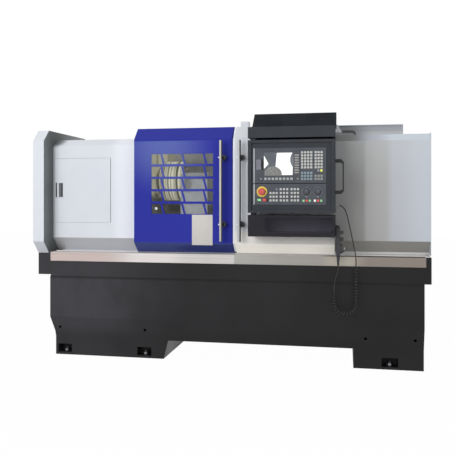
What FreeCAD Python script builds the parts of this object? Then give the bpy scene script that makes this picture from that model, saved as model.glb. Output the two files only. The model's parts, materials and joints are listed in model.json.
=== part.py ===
"""A flat-bed turning lathe with sliding doors and a swinging operator console.

Millimetres. +X runs along the bed to the right, +Y to the back, +Z up. The origin is on the floor,
under the middle of the machine. Each solid is written to parts/NODE.step.
"""
import FreeCAD
import Part
import math
import os

Vec = FreeCAD.Vector
os.makedirs("parts", exist_ok=True)

# ---- Fits and stock ----
SHEET = 3.0               # folded cover sheet
SEAT = 0.3                # clearance between pieces that seat on each other
RUNNING_FIT = 0.05        # radial clearance of a shaft in its bore
KNOB_SIDES = 20           # grips of knobs are many-sided
SMALL_SIDES = 8           # screws, small shafts and cord

# ---- Base casting ----
BASE_LEFT = -1149.0
BASE_RIGHT = 1212.0
BASE_FRONT = -380.0
BASE_BACK = 204.0
BASE_TOP = 522.0
FOOT_HEIGHT = 118.0
CREASE_HEIGHT = 255.0
FOOT_SETBACK = 40.0       # the lower front slopes in by this much
LEFT_TAPER = 22.0         # the left side steps in by this much
ARCH_LEFT = -389.0        # arch between the feet
ARCH_RIGHT = 801.0
ARCH_CHAMFER = 30.0
POCKET_CENTRES = (-1063.0, -518.0, 1016.0)
POCKET_WIDTH = 95.0
POCKET_HEIGHT = 55.0
POCKET_DEPTH = 80.0
FOOT_FLANGE = 15.0        # sole thickness under a pocket
LEVEL_BOLT_RADIUS = 10.0
LEVEL_BOLT_HEAD = 17.0    # to the corners of its hexagon
LEVEL_BOLT_HEAD_HEIGHT = 16.0
LEVEL_BOLT_RISE = 30.0    # thread above the sole
LIFT_HOLES = (-1089.0, -508.0, 873.0, 1161.0)
LIFT_HOLE_Z = 184.0
LIFT_HOLE_RADIUS = 9.0
LIFT_HOLE_DEPTH = 70.0    # through the wall of the base
SHELF_LEFT = -1120.0      # rear shelf under the electrical cabinet
SHELF_RIGHT = -500.0
SHELF_REACH = 400.0
SHELF_THICKNESS = 40.0
SHELF_WEB_INSET = 60.0    # from the shelf's end to its web

# ---- Chip tray and its stainless sill ----
TRAY_LEFT = -1265.0
TRAY_RIGHT = 1250.0
TRAY_FRONT = -390.0
TRAY_BACK = 280.0
TRAY_HEIGHT = 143.0
TRAY_WALL = 4.0
TRAY_NOTCH_RIGHT = -1140.0
TRAY_NOTCH_DEPTH = 75.0
TRAY_RIM = 30.0           # width of the rim at the back and in the notch
TRAY_RIM_INSET = 8.0      # from the left cover's left end to the tray's mouth
TRAY_WEB_HEIGHT = 110.0   # webs under the rim, at their front
TRAY_WEB_TIP = 20.0       # and at their back
TRAY_WEB_INSET = 40.0     # from a cover's end to the web under it
TRAY_WEB_BEYOND_BED = 60.0
SILL_LEFT = -1140.0
SILL_RIGHT = 1219.0
SILL_RISE = 14.0          # sill plate above the tray's rim
SILL_FACE = 58.0          # height of the bright front strip
SILL_NARROW = 150.0       # depth of the sill in front of the work area
TRACK_HEIGHT = 4.0
TRACK_WIDTH = 12.0
TRACK_Y = -300.0

# ---- Bed, headstock, spindle ----
BED_LEFT = -1120.0
BED_RIGHT = 1080.0
BED_FRONT = -150.0
BED_BACK = 170.0
WAY_Z = 924.0
WAY_WIDTH = 70.0
WAY_DEPTH = 60.0
BED_FOOT = 34.0           # height of the foot under the waisted walls
BED_WAIST = 10.0
SLOT_FLOOR = 40.0         # of the openings between the ribs, above the foot
CHUTE_HIGH = 160.0        # chip chutes in the front wall: heights above the foot
CHUTE_LOW = 60.0
CHUTE_SILL = 20.0
CHUTE_SIDE = 20.0         # from a rib to its chute
MOTOR_BAY_WALL = 55.0
MOTOR_BAY_RISE = 130.0
LUG_HALF = 32.0           # bearing lugs of the feed screw
VEE_HEIGHT = 14.0
VEE_HALF = 14.0
BED_RIBS = 7
RIB_THICKNESS = 30.0
MOTOR_BAY_LENGTH = 360.0
HEADSTOCK_LEFT = -1110.0
HEADSTOCK_END_GAP = 9.0   # from the headstock's right end to the cover's end wall
HEADSTOCK_TOP = 1290.0
HEADSTOCK_ROUNDING = 40.0
NOSE_CAP_RADIUS = 100.0   # bearing caps at both ends of the spindle's bore
NOSE_CAP_THICKNESS = 22.0
REAR_CAP_RADIUS = 85.0
REAR_CAP_THICKNESS = 6.0
SPINDLE_Y = 10.0
CENTRE_HEIGHT = 225.0     # spindle axis above the ways
SPINDLE_RADIUS = 60.0
SPINDLE_BORE = 26.0
CHUCK_RADIUS = 134.0
CHUCK_BACK_STEP = 12.0    # the body's back is smaller by this much
CHUCK_CHAMFER = 6.0
CHUCK_FLANGE_RADIUS = 95.0
CHUCK_FLANGE_THICKNESS = 18.0
CHUCK_LENGTH = 145.0
CHUCK_FACE_X = -345.0
CHUCK_BORE = 36.0
JAW_WIDTH = 32.0
JAW_HEIGHT = 45.0         # jaw in front of the chuck's face
JAW_LENGTH = 78.0
JAW_INNER = 30.0
JAW_TONGUE = 12.0
PULLEY_WIDTH = 36.0
PULLEY_GAP = 10.0         # from the headstock's left end to the pulleys
PULLEY_HUB = 4.0
SPINDLE_PULLEY = 80.0
MOTOR_PULLEY = 60.0
BELT_THICKNESS = 6.0
BELT_MARGIN = 4.3         # from the pulleys' ends to the belt
MOTOR_SHAFT_DROP = 409.0
MOTOR_SIDE = 186.0
MOTOR_LENGTH = 320.0
MOTOR_SHAFT = 19.0
MOTOR_INSET = 12.0        # from the bed's left end to the motor
MOTOR_CORNER = 14.0
MOTOR_GROOVES = 5         # cooling grooves along both sides
GROOVE_PITCH = 26.0
GROOVE_WIDTH = 14.0
GROOVE_DEPTH = 6.0
GROOVE_START = 26.0
GROOVE_END = 60.0

# ---- Carriage, tool post, tailstock ----
CARRIAGE_LEFT = -180.0
CARRIAGE_RIGHT = 140.0
CARRIAGE_FRONT = -187.0
CARRIAGE_BACK = 190.0
CARRIAGE_TOP = 985.0
APRON_LEFT = -60.0
APRON_RIGHT = 60.0
SCREW_Y = -172.0
SCREW_Z = 800.0
SCREW_RADIUS = 16.0
SCREW_LEFT = -500.0
SERVO_SIDE = 100.0
SERVO_LENGTH = 150.0
SERVO_FLANGE = 16.0
SERVO_STEP = 8.0          # from the flange's sides to the body's
SERVO_CHAMFER = 12.0
SERVO_PLUG = 24.0
SPLASH_LEFT = -317.0
SPLASH_RIGHT = -135.0
SPLASH_BOTTOM = 850.0
SPLASH_KNEE = 1130.0
SPLASH_BEND = 70.0
SLIDE_LEFT = -95.0
SLIDE_RIGHT = 55.0
SLIDE_FRONT = -178.0
SLIDE_BACK = 140.0
SLIDE_HEIGHT = 48.0
POST_X = -20.0
POST_Y = -100.0
POST_BASE_RADIUS = 62.0
POST_BASE_HEIGHT = 50.0
POST_SIDE = 150.0
POST_HEIGHT = 84.0
TOOL_SLOT = 26.0
TOOL_SLOT_DEPTH = 28.0
CLAMP_SCREW_PITCH = 48.0
CLAMP_SCREW_RADIUS = 9.0
POST_CAP_RADIUS = 34.0
TAILSTOCK_LEFT = 700.0
TAILSTOCK_RIGHT = 900.0
BARREL_RADIUS = 60.0
BARREL_OVERHANG = 15.0
QUILL_RADIUS = 37.5
QUILL_TIP_X = 640.0
QUILL_LENGTH = 230.0
TAPER_MOUTH = 15.6
TAPER_END = 12.6
TAPER_DEPTH = 90.0

# ---- Fixed covers ----
COVER_FRONT = -255.0
COVER_LOWER_FOLD = 765.0
COVER_LOWER_RUN = 85.0
COVER_FOOT = 12.0         # width of the foot flange
COVER_UPPER_FOLD = 1382.0
COVER_TOP = 1426.0
COVER_UPPER_RUN = 60.0
HEAD_COVER_LEFT = -1188.0
HEAD_COVER_RIGHT = -540.0
TAIL_COVER_LEFT = 650.0
TAIL_COVER_RIGHT = 1265.0
NOSE_OPENING = 140.0      # hole round the chuck's back plate
HATCH_LEFT = -1175.0
HATCH_RIGHT = -781.0
HATCH_BOTTOM = 867.0
HATCH_TOP = 1296.0
HATCH_GAP = 1.0
HATCH_HINGE_GAP = 3.0
HATCH_PIN = 2.5
LATCH_CENTRE_X = -1133.0
LATCH_BOTTOM = 1032.0
LATCH_TOP = 1136.0
PADDLE_WIDTH = 28.0
GUARD_LEFT = -1265.0
GUARD_TOP = 1480.0
GUARD_LOWER_FOLD = 745.0
GUARD_UPPER_FOLD = 1405.0
SPLASH_WALL_TOP = 1540.0
SPLASH_WALL_LEFT = -560.0
SPLASH_WALL_RIGHT = 1147.0

# ---- Sliding doors ----
DOOR_FRONT = -390.0
DOOR_FACET = 75.0         # depth of the folded facets
DOOR_LOWER_RISE = 63.7    # height of the lower facet
DOOR_UPPER_FOLD = 1402.0
DOOR_TOP = 1478.0
DOOR_ROOF_BACK = 14.0
DOOR_SIDE_BACK = -262.0
DOOR_FLANGE = 25.0        # return flanges where the doors meet
DOOR_FOOT = 30.0          # width of the foot flange
LEFT_DOOR_LEFT = -570.0
LEFT_DOOR_RIGHT = 68.0
RIGHT_DOOR_LEFT = 82.0
RIGHT_DOOR_RIGHT = 690.0
DOOR_HOOK_GAP = 3.0       # from the hook's edge to the covers' roofs
RAIL_WIDTH = 30.0
RAIL_HEIGHT = 12.0
RAIL_GAP = 1.0            # from the rail to the doors' hooks
WINDOW_LEFT = -454.0
WINDOW_RIGHT = -56.0
WINDOW_TOP = 1307.0
WINDOW_ROWS = 5
WINDOW_PITCH = 78.5
WINDOW_OPENING = 63.5
BAR_WIDTH = 13.0
BAR_STARTS = (57.0, 193.0, 332.0)
BAR_LEAN = 17.0
PANE_THICKNESS = 5.0
PANE_BORDER = 11.0
HANDLE_RADIUS = 10.0
HANDLE_Y = -450.0
HANDLE_BOTTOM = 763.0
HANDLE_TOP = 1383.0
HANDLE_MOUNTS = (867.0, 1278.0)
LEFT_HANDLE_X = 6.0
RIGHT_HANDLE_X = 120.0
STANDOFF_RADIUS = 13.0
STANDOFF_FOOT_RADIUS = 20.0
STANDOFF_FOOT = 6.0       # thickness of the foot
STANDOFF_NECK = 15.0      # from the door to where the standoff is slim
HANGER_LEFT = 107.0
HANGER_RIGHT = 158.0
HANGER_HEIGHT = 32.0
HANGER_DEPTH = 60.0
GUSSET_TOP_REACH = 18.0
GUSSET_REACH = 45.0
GUSSET_HEIGHT = 48.0
GUSSET_SETBACK = 4.0      # behind the top facet's upper edge

# ---- Console ----
CONSOLE_LEFT = 193.0
CONSOLE_RIGHT = 697.0
CONSOLE_FRONT = -590.0
CASE_BACK = -396.0
CASE_BOTTOM = 942.0
CASE_TOP = 1366.0
CONSOLE_GAP = 13.0
CONSOLE_CORNER = 6.0
HOOD_FASCIA = 64.0
HOOD_LID = 87.0           # height of the lid above the fascia
HOOD_SLOPE_RUN = 100.0
HOOD_INSET = 27.0
HOOD_OVERHANG = 5.0       # the lid passes the fascia's right end
LOWER_BOX_BOTTOM = 804.0
SHELF_POCKET_LEFT = 289.0
SHELF_POCKET_RIGHT = 687.0
SHELF_POCKET_BOTTOM = 828.0
SHELF_POCKET_TOP = 914.0
SHELF_POCKET_DEPTH = 170.0
SHELF_POCKET_CORNER = 16.0
PIVOT_X = 225.0
PIVOT_Y = -560.0
PIVOT_RADIUS = 8.0
PIVOT_WASHER = 18.0
PIVOT_LENGTH = 20.0       # pin inside the case
BEZEL_LEFT = 214.0
BEZEL_RIGHT = 675.0
BEZEL_BOTTOM = 959.0
BEZEL_TOP = 1349.0
BEZEL_DEPTH = 10.0
PANEL_LEFT = 226.5
PANEL_RIGHT = 646.5
PANEL_PROUD = 4.0         # panels stand this far in front of the bezel's floor
DISPLAY_BOTTOM = 1115.0
DISPLAY_TOP = 1318.0
MACHINE_PANEL_BOTTOM = 990.0
MACHINE_PANEL_TOP = 1111.0
PANEL_CAVITY_DEPTH = 34.0
KEY_HEIGHT = 1.6
# Key fields: first key's middle right of the panel's left edge and below its top edge, columns,
# rows, pitch across, pitch down, side.
DISPLAY_KEYS = (
    (283.2, 27.0, 4, 6, 17.35, 17.3, 12.5),
    (360.3, 27.0, 3, 6, 16.8, 17.3, 12.5),
    (375.5, 132.0, 2, 1, 17.4, 17.3, 12.5),
    (283.2, 145.3, 4, 3, 17.35, 17.3, 12.5),
    (360.3, 162.6, 3, 2, 16.8, 17.3, 12.5),
    (251.5, 42.0, 1, 8, 15.0, 14.4, 11.0),
    (70.9, 178.2, 8, 1, 21.6, 15.0, 12.0),
    (44.4, 178.2, 2, 1, 213.0, 15.0, 9.0),
)
MACHINE_KEYS = (
    (136.0, 31.7, 1, 1, 18.0, 21.5, 12.0),
    (100.2, 53.6, 3, 3, 17.9, 21.4, 12.0),
    (160.0, 31.7, 3, 4, 18.5, 21.5, 12.0),
    (223.0, 31.7, 3, 4, 18.1, 21.5, 12.0),
    (290.9, 98.0, 3, 1, 17.9, 18.0, 12.0),
    (355.5, 98.0, 3, 1, 18.1, 18.0, 12.0),
)
SCREEN_LEFT = 288.0
SCREEN_RIGHT = 461.0
SCREEN_BOTTOM = 1158.0
SCREEN_TOP = 1294.0
GLASS_THICKNESS = 3.0
ESTOP_X = 277.0
KNOB_Z = 1065.0
ESTOP_COLLAR = 31.0
ESTOP_CAP = 20.5
ESTOP_STEM = 9.0
ESTOP_FRONT = -615.0
BUTTON_Z = 1017.0
START_X = 261.0
STOP_X = 291.0
BUTTON_WIDTH = 21.0
BUTTON_TALL = 13.0
FEED_KNOB_X = 534.0
SPINDLE_KNOB_X = 599.0
KNOB_RADIUS = 18.0
KNOB_HEIGHT = 17.0
KNOB_STEM = 5.0
FLAP_LEFT = 241.0
FLAP_RIGHT = 271.0
FLAP_BOTTOM = 1194.0
FLAP_TOP = 1253.0
FLAP_THICKNESS = 2.2
FLAP_PIN = 1.1
GRAB_BOTTOM = 1052.0
GRAB_TOP = 1255.0
GRAB_REACH = 49.0
GRAB_Y = -500.0
GRAB_ARM = 20.0           # height of its arms
GRAB_UPRIGHT = 8.0        # width of its upright
GRAB_DEPTH = 22.0

# ---- Hand pendant and its cord ----
PENDANT_LEFT = 700.3
PENDANT_RIGHT = 725.0
PENDANT_FRONT = -500.0
PENDANT_BACK = -420.0
PENDANT_BOTTOM = 685.0
PENDANT_TOP = 859.0
BOOT_LENGTH = 58.0
BOOT_RADIUS = 10.0
DIAL_RADIUS = 30.0
DIAL_Z = 731.0
DIAL_HEIGHT = 14.0
AXIS_KNOB_Z = 826.0
STEP_KNOB_Z = 787.0
SELECTOR_RADIUS = 11.0
SELECTOR_HEIGHT = 18.0
GLAND_Y = -353.0
GLAND_Z = 986.0
GLAND_LENGTH = 28.0
GLAND_RADIUS = 11.0
CORD_RADIUS = 3.25
COIL_RADIUS = 9.0         # from the coil's middle line to the cord's middle line
COIL_CURLS = 26
COIL_SIDES = 6
COIL_STEPS = 12           # straight steps in one curl
COIL_X = 752.0            # middle of the hanging loop of coil
COIL_Y = -440.0
COIL_BEND_RADIUS = 64.0
COIL_BEND_Z = 410.0       # where the two legs run into the bottom bend
COIL_LEFT_TOP = 470.0
COIL_RIGHT_TOP = 630.0

# ---- Electrical cabinet and cable carrier ----
CABINET_LEFT = -1100.0
CABINET_RIGHT = -520.0
CABINET_TOP = 1400.0
CABINET_BACK = 615.0
CABINET_WALL = 4.0
CABINET_LIP = 25.0
DRIVE_MODULES = 4
MODULE_BOTTOM = 960.0
MODULE_TOP = 1300.0
MODULE_DEPTH = 170.0
MODULE_GAP = 24.0
SUPPLY_BOTTOM = 640.0
SUPPLY_TOP = 800.0
SUPPLY_DEPTH = 110.0
CABINET_MARGIN = 60.0     # from the cabinet's sides to what stands inside it
CARRIER_Y = 32.0
CARRIER_WIDTH = 42.0
CARRIER_BEND = 27.0
CARRIER_LINK = 12.0
CARRIER_END_X = 796.0
CARRIER_LENGTH = 110.0

# ---- Worked out from the sizes above ----
BASE_FOOT_FRONT = BASE_FRONT + FOOT_SETBACK
TRAY_FLOOR = BASE_TOP + TRAY_WALL
TRAY_TOP = BASE_TOP + TRAY_HEIGHT
SILL_TOP = TRAY_TOP + SILL_RISE
DOOR_BOTTOM = SILL_TOP + TRACK_HEIGHT + SEAT
DOOR_LOWER_FOLD = DOOR_BOTTOM + DOOR_LOWER_RISE
SILL_BACK = BED_FRONT - 5.0
HEADSTOCK_RIGHT = HEAD_COVER_RIGHT - SHEET - HEADSTOCK_END_GAP
SPINDLE_Z = WAY_Z + CENTRE_HEIGHT
MOTOR_Z = SPINDLE_Z - MOTOR_SHAFT_DROP
CHUCK_BACK_X = CHUCK_FACE_X - CHUCK_LENGTH
PULLEY_LEFT = HEADSTOCK_LEFT - PULLEY_GAP - PULLEY_WIDTH
SLIDE_BASE = CARRIAGE_TOP + SEAT
SLIDE_TOP = SLIDE_BASE + SLIDE_HEIGHT
POST_BASE_TOP = SLIDE_TOP + POST_BASE_HEIGHT
HOOD_BOTTOM = CASE_TOP + CONSOLE_GAP
HOOD_TOP = HOOD_BOTTOM + HOOD_FASCIA + HOOD_LID
LOWER_BOX_TOP = CASE_BOTTOM - CONSOLE_GAP
PANEL_FLOOR = CONSOLE_FRONT + BEZEL_DEPTH
PANEL_FACE = PANEL_FLOOR - PANEL_PROUD
COVER_BACK = TRAY_BACK - SHEET
RAIL_BACK = DOOR_ROOF_BACK - SHEET - RAIL_GAP


# ---- Shape helpers ----
def box(x0, x1, y0, y1, z0, z1):
    """A block between two corners."""
    return Part.makeBox(x1 - x0, y1 - y0, z1 - z0, Vec(x0, y0, z0))


def prism_x(outline, x0, x1):
    """Push a closed (y, z) outline from x0 to x1."""
    face = Part.Face(Part.makePolygon([Vec(x0, y, z) for y, z in outline + outline[:1]]))
    return face.extrude(Vec(x1 - x0, 0, 0))


def prism_y(outline, y0, y1):
    """Push a closed (x, z) outline from y0 to y1."""
    face = Part.Face(Part.makePolygon([Vec(x, y0, z) for x, z in outline + outline[:1]]))
    return face.extrude(Vec(0, y1 - y0, 0))


def prism_z(outline, z0, z1):
    """Push a closed (x, y) outline from z0 to z1."""
    face = Part.Face(Part.makePolygon([Vec(x, y, z0) for x, y in outline + outline[:1]]))
    return face.extrude(Vec(0, 0, z1 - z0))


def rod(radius, start, end):
    """A round bar between two points."""
    along = Vec(*end) - Vec(*start)
    return Part.makeCylinder(radius, along.Length, Vec(*start), along)


def turned(profile, origin, axis):
    """Revolve (distance along the axis, radius) points about an axis through origin."""
    points = [Vec(r, 0, t) for t, r in profile]
    face = Part.Face(Part.makePolygon(points + points[:1]))
    solid = face.revolve(Vec(0, 0, 0), Vec(0, 0, 1), 360)
    turn = FreeCAD.Rotation(Vec(0, 0, 1), Vec(*axis))
    solid.Placement = FreeCAD.Placement(Vec(*origin), turn)
    return solid


def ring(sides, radius, origin, axis, at):
    """Corners of a regular polygon inscribed in a circle, square to an axis, at a distance along it."""
    turn = FreeCAD.Rotation(Vec(0, 0, 1), Vec(*axis))
    corners = []
    for i in range(sides):
        angle = 2 * math.pi * (i + 0.5) / sides
        flat = Vec(radius * math.cos(angle), radius * math.sin(angle), at)
        corners.append(Vec(*origin) + turn.multVec(flat))
    return corners


def closed(corners):
    """Closed wire through corners."""
    return Part.makePolygon(corners + corners[:1])


def faceted(profile, sides, origin, axis):
    """Many-sided turned piece from (distance, radius) stations; a repeated distance is a step."""
    rings = [ring(sides, radius, origin, axis, at) for at, radius in profile]
    faces = [Part.Face(closed(rings[0])), Part.Face(closed(rings[-1]))]
    for low, high in zip(rings, rings[1:]):
        for i in range(sides):
            j = (i + 1) % sides
            faces.append(Part.Face(closed([low[i], low[j], high[j], high[i]])))
    solid = Part.makeSolid(Part.makeShell(faces))
    if solid.Volume < 0:
        solid.reverse()
    return solid


def faceted_hole(radius, sides, origin, axis, depth):
    """Many-sided hole whose flats clear a circle of the given radius."""
    corner_radius = radius / math.cos(math.pi / sides)
    return faceted([(0, corner_radius), (depth, corner_radius)], sides, origin, axis)


def round_edges(solid, radius, direction):
    """Round the straight outer edges that run along a direction."""
    along = Vec(*direction)
    chosen = []
    for edge in solid.Edges:
        if isinstance(edge.Curve, Part.Line) and abs(edge.Curve.Direction.dot(along)) > 0.999:
            chosen.append(edge)
    return solid.makeFillet(radius, chosen)


def rounded_box(x0, x1, y0, y1, z0, z1, radius, direction):
    """A block whose four edges along one direction are rounded."""
    return round_edges(box(x0, x1, y0, y1, z0, z1), radius, direction)


def fold(points, thickness):
    """A folded sheet's section: the outer (y, z) line and its inner offset as one outline."""
    inner = []
    last = len(points) - 1
    for i, (y, z) in enumerate(points):
        before = points[max(i - 1, 0)]
        after = points[min(i + 1, last)]
        if i == 0:
            before = (2 * y - after[0], 2 * z - after[1])
        if i == last:
            after = (2 * y - before[0], 2 * z - before[1])
        d0 = Vec(y - before[0], z - before[1], 0).normalize()
        d1 = Vec(after[0] - y, after[1] - z, 0).normalize()
        n0 = Vec(d0.y, -d0.x, 0)
        n1 = Vec(d1.y, -d1.x, 0)
        middle = (n0 + n1).normalize()
        reach = thickness / middle.dot(n0)
        inner.append((y + middle.x * reach, z + middle.y * reach))
    return points + inner[::-1]


def save(name, shape):
    """Write one solid, or one group of like solids, to its STEP file."""
    shape = shape.removeSplitter()
    solids = shape.Solids
    shape = solids[0] if len(solids) == 1 else Part.makeCompound(solids)
    shape.exportStep("parts/" + name + ".step")
    print(name, len(solids), "solid, valid", shape.isValid(), "volume", round(shape.Volume))


# ---- Base ----
def base_casting():
    """One-piece stand: creased front, two feet with an arch between them, pockets, a rear shelf."""
    side = [(BASE_FOOT_FRONT, 0), (BASE_BACK, 0), (BASE_BACK, BASE_TOP), (BASE_FRONT, BASE_TOP),
            (BASE_FRONT, CREASE_HEIGHT), (BASE_FOOT_FRONT, FOOT_HEIGHT)]
    body = prism_x(side, BASE_LEFT, BASE_RIGHT)
    taper = [(BASE_LEFT, CREASE_HEIGHT), (BASE_LEFT + LEFT_TAPER, CREASE_HEIGHT - 4.5 * LEFT_TAPER),
             (BASE_LEFT + LEFT_TAPER, 0), (BASE_LEFT, 0)]
    body = body.cut(prism_y(taper, BASE_FRONT, BASE_BACK))
    arch = [(ARCH_LEFT, 0), (ARCH_LEFT + ARCH_CHAMFER, FOOT_HEIGHT), (ARCH_RIGHT, FOOT_HEIGHT),
            (ARCH_RIGHT, 0)]
    body = body.cut(prism_y(arch, BASE_FRONT, BASE_BACK))
    shelf_back = BASE_BACK + SHELF_REACH
    body = body.fuse(box(SHELF_LEFT, SHELF_RIGHT, BASE_BACK, shelf_back, BASE_TOP - SHELF_THICKNESS,
                         BASE_TOP))
    web = [(BASE_BACK, CREASE_HEIGHT), (shelf_back, BASE_TOP - SHELF_THICKNESS),
           (BASE_BACK, BASE_TOP - SHELF_THICKNESS)]
    for x in (SHELF_LEFT + SHELF_WEB_INSET, SHELF_RIGHT - SHELF_WEB_INSET - RIB_THICKNESS):
        body = body.fuse(prism_x(web, x, x + RIB_THICKNESS))
    for x, front in foot_pockets():
        back = front + POCKET_DEPTH if front < 0 else front - POCKET_DEPTH
        body = body.cut(box(x - POCKET_WIDTH / 2, x + POCKET_WIDTH / 2, min(front, back), max(front, back),
                            FOOT_FLANGE, FOOT_FLANGE + POCKET_HEIGHT))
        y = (front + back) / 2
        body = body.cut(faceted_hole(LEVEL_BOLT_RADIUS + SEAT, SMALL_SIDES, (x, y, 0), (0, 0, 1),
                                     FOOT_FLANGE))
    for x in LIFT_HOLES:
        body = body.cut(faceted_hole(LIFT_HOLE_RADIUS, SMALL_SIDES, (x, BASE_FRONT, LIFT_HOLE_Z), (0, 1, 0),
                                     LIFT_HOLE_DEPTH))
    return body


def foot_pockets():
    """Centre and mouth of each pocket in the front and back of the feet."""
    return [(x, front) for x in POCKET_CENTRES for front in (BASE_FOOT_FRONT, BASE_BACK)]


def leveling_bolts():
    """Hexagon-headed jacking bolts that stand in the pockets' soles."""
    bolts = []
    for x, front in foot_pockets():
        y = front + POCKET_DEPTH / 2 if front < 0 else front - POCKET_DEPTH / 2
        head_top = FOOT_FLANGE + LEVEL_BOLT_HEAD_HEIGHT
        head = faceted([(FOOT_FLANGE, LEVEL_BOLT_HEAD), (head_top, LEVEL_BOLT_HEAD)], 6, (x, y, 0), (0, 0, 1))
        shank = faceted([(0, LEVEL_BOLT_RADIUS), (FOOT_FLANGE + LEVEL_BOLT_RISE, LEVEL_BOLT_RADIUS)],
                        SMALL_SIDES, (x, y, 0), (0, 0, 1))
        bolts.append(head.fuse(shank))
    return Part.makeCompound(bolts)


def chip_tray():
    """Folded pan between base and bed, stepped back at its left end, with a rim that carries the covers."""
    step_y = TRAY_FRONT + TRAY_NOTCH_DEPTH
    w = TRAY_WALL
    outline = tray_outline(TRAY_LEFT, TRAY_NOTCH_RIGHT, TRAY_RIGHT, step_y, TRAY_FRONT, TRAY_BACK)
    inside = tray_outline(TRAY_LEFT + w, TRAY_NOTCH_RIGHT + w, TRAY_RIGHT - w, step_y + w, TRAY_FRONT + w,
                          TRAY_BACK - w)
    mouth = tray_outline(HEAD_COVER_LEFT + TRAY_RIM_INSET, TRAY_NOTCH_RIGHT + w, TRAY_RIGHT - w,
                         step_y + TRAY_RIM, TRAY_FRONT + w, TRAY_BACK - TRAY_RIM)
    pan = prism_z(outline, BASE_TOP, TRAY_TOP)
    pan = pan.cut(prism_z(inside, TRAY_FLOOR, TRAY_TOP - SHEET))
    pan = pan.cut(prism_z(mouth, TRAY_FLOOR, TRAY_TOP))
    web = [(TRAY_FRONT + w, TRAY_TOP - TRAY_WEB_HEIGHT), (TRAY_FRONT + w, TRAY_TOP), (SILL_BACK, TRAY_TOP),
           (SILL_BACK, TRAY_TOP - TRAY_WEB_TIP)]
    for x in (HEADSTOCK_LEFT, HEAD_COVER_RIGHT - TRAY_WEB_INSET, TAIL_COVER_LEFT + TRAY_WEB_INSET,
              BED_RIGHT + TRAY_WEB_BEYOND_BED):
        pan = pan.fuse(prism_x(web, x, x + w))
    end_front = box(SILL_RIGHT + SEAT, TRAY_RIGHT, TRAY_FRONT, TRAY_FRONT + w, TRAY_TOP - 1, SILL_TOP)
    end_side = box(TRAY_RIGHT - w, TRAY_RIGHT, TRAY_FRONT, SILL_BACK, TRAY_TOP - 1, SILL_TOP)
    return pan.multiFuse([end_front, end_side])


def tray_outline(left, notch, right, step, front, back):
    """Outline of the tray in plan, stepped back left of its notch."""
    return [(left, step), (notch, step), (notch, front), (right, front), (right, back), (left, back)]


def door_rail_strip():
    """Stainless sill: bright front face, top plate with the doors' track, narrower before the work area."""
    top = box(SILL_LEFT, SILL_RIGHT, TRAY_FRONT - SHEET, SILL_BACK, SILL_TOP - SHEET, SILL_TOP)
    narrow_back = TRAY_FRONT + SILL_NARROW
    top = top.cut(box(HEAD_COVER_RIGHT, TAIL_COVER_LEFT, narrow_back, SILL_BACK, SILL_TOP - SHEET,
                      SILL_TOP))
    face = box(SILL_LEFT, SILL_RIGHT, TRAY_FRONT - SHEET, TRAY_FRONT, SILL_TOP - SILL_FACE, SILL_TOP)
    foot = box(SILL_LEFT, SILL_RIGHT, TRAY_FRONT, TRAY_FRONT + SHEET, TRAY_TOP, SILL_TOP)
    track = box(SILL_LEFT, SILL_RIGHT, TRACK_Y - TRACK_WIDTH / 2, TRACK_Y + TRACK_WIDTH / 2, SILL_TOP,
                SILL_TOP + TRACK_HEIGHT)
    strip = top.multiFuse([face, foot, track])
    for x0, x1 in ((SILL_LEFT, HEAD_COVER_RIGHT), (TAIL_COVER_LEFT, SILL_RIGHT)):
        strip = strip.fuse(box(x0, x1, SILL_BACK - SHEET, SILL_BACK, TRAY_TOP, SILL_TOP))
    strip = strip.fuse(box(HEAD_COVER_RIGHT, TAIL_COVER_LEFT, narrow_back - SHEET, narrow_back, TRAY_TOP,
                           SILL_TOP))
    return strip


# ---- Bed and headstock ----
def vee_outline(grow):
    """Section of the front way's inverted vee, grown by a clearance."""
    y = BED_FRONT + WAY_WIDTH / 2
    return [(y - VEE_HALF - grow, WAY_Z - SEAT), (y + VEE_HALF + grow, WAY_Z - SEAT),
            (y + VEE_HALF + grow, WAY_Z), (y, WAY_Z + VEE_HEIGHT + grow), (y - VEE_HALF - grow, WAY_Z)]


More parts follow.
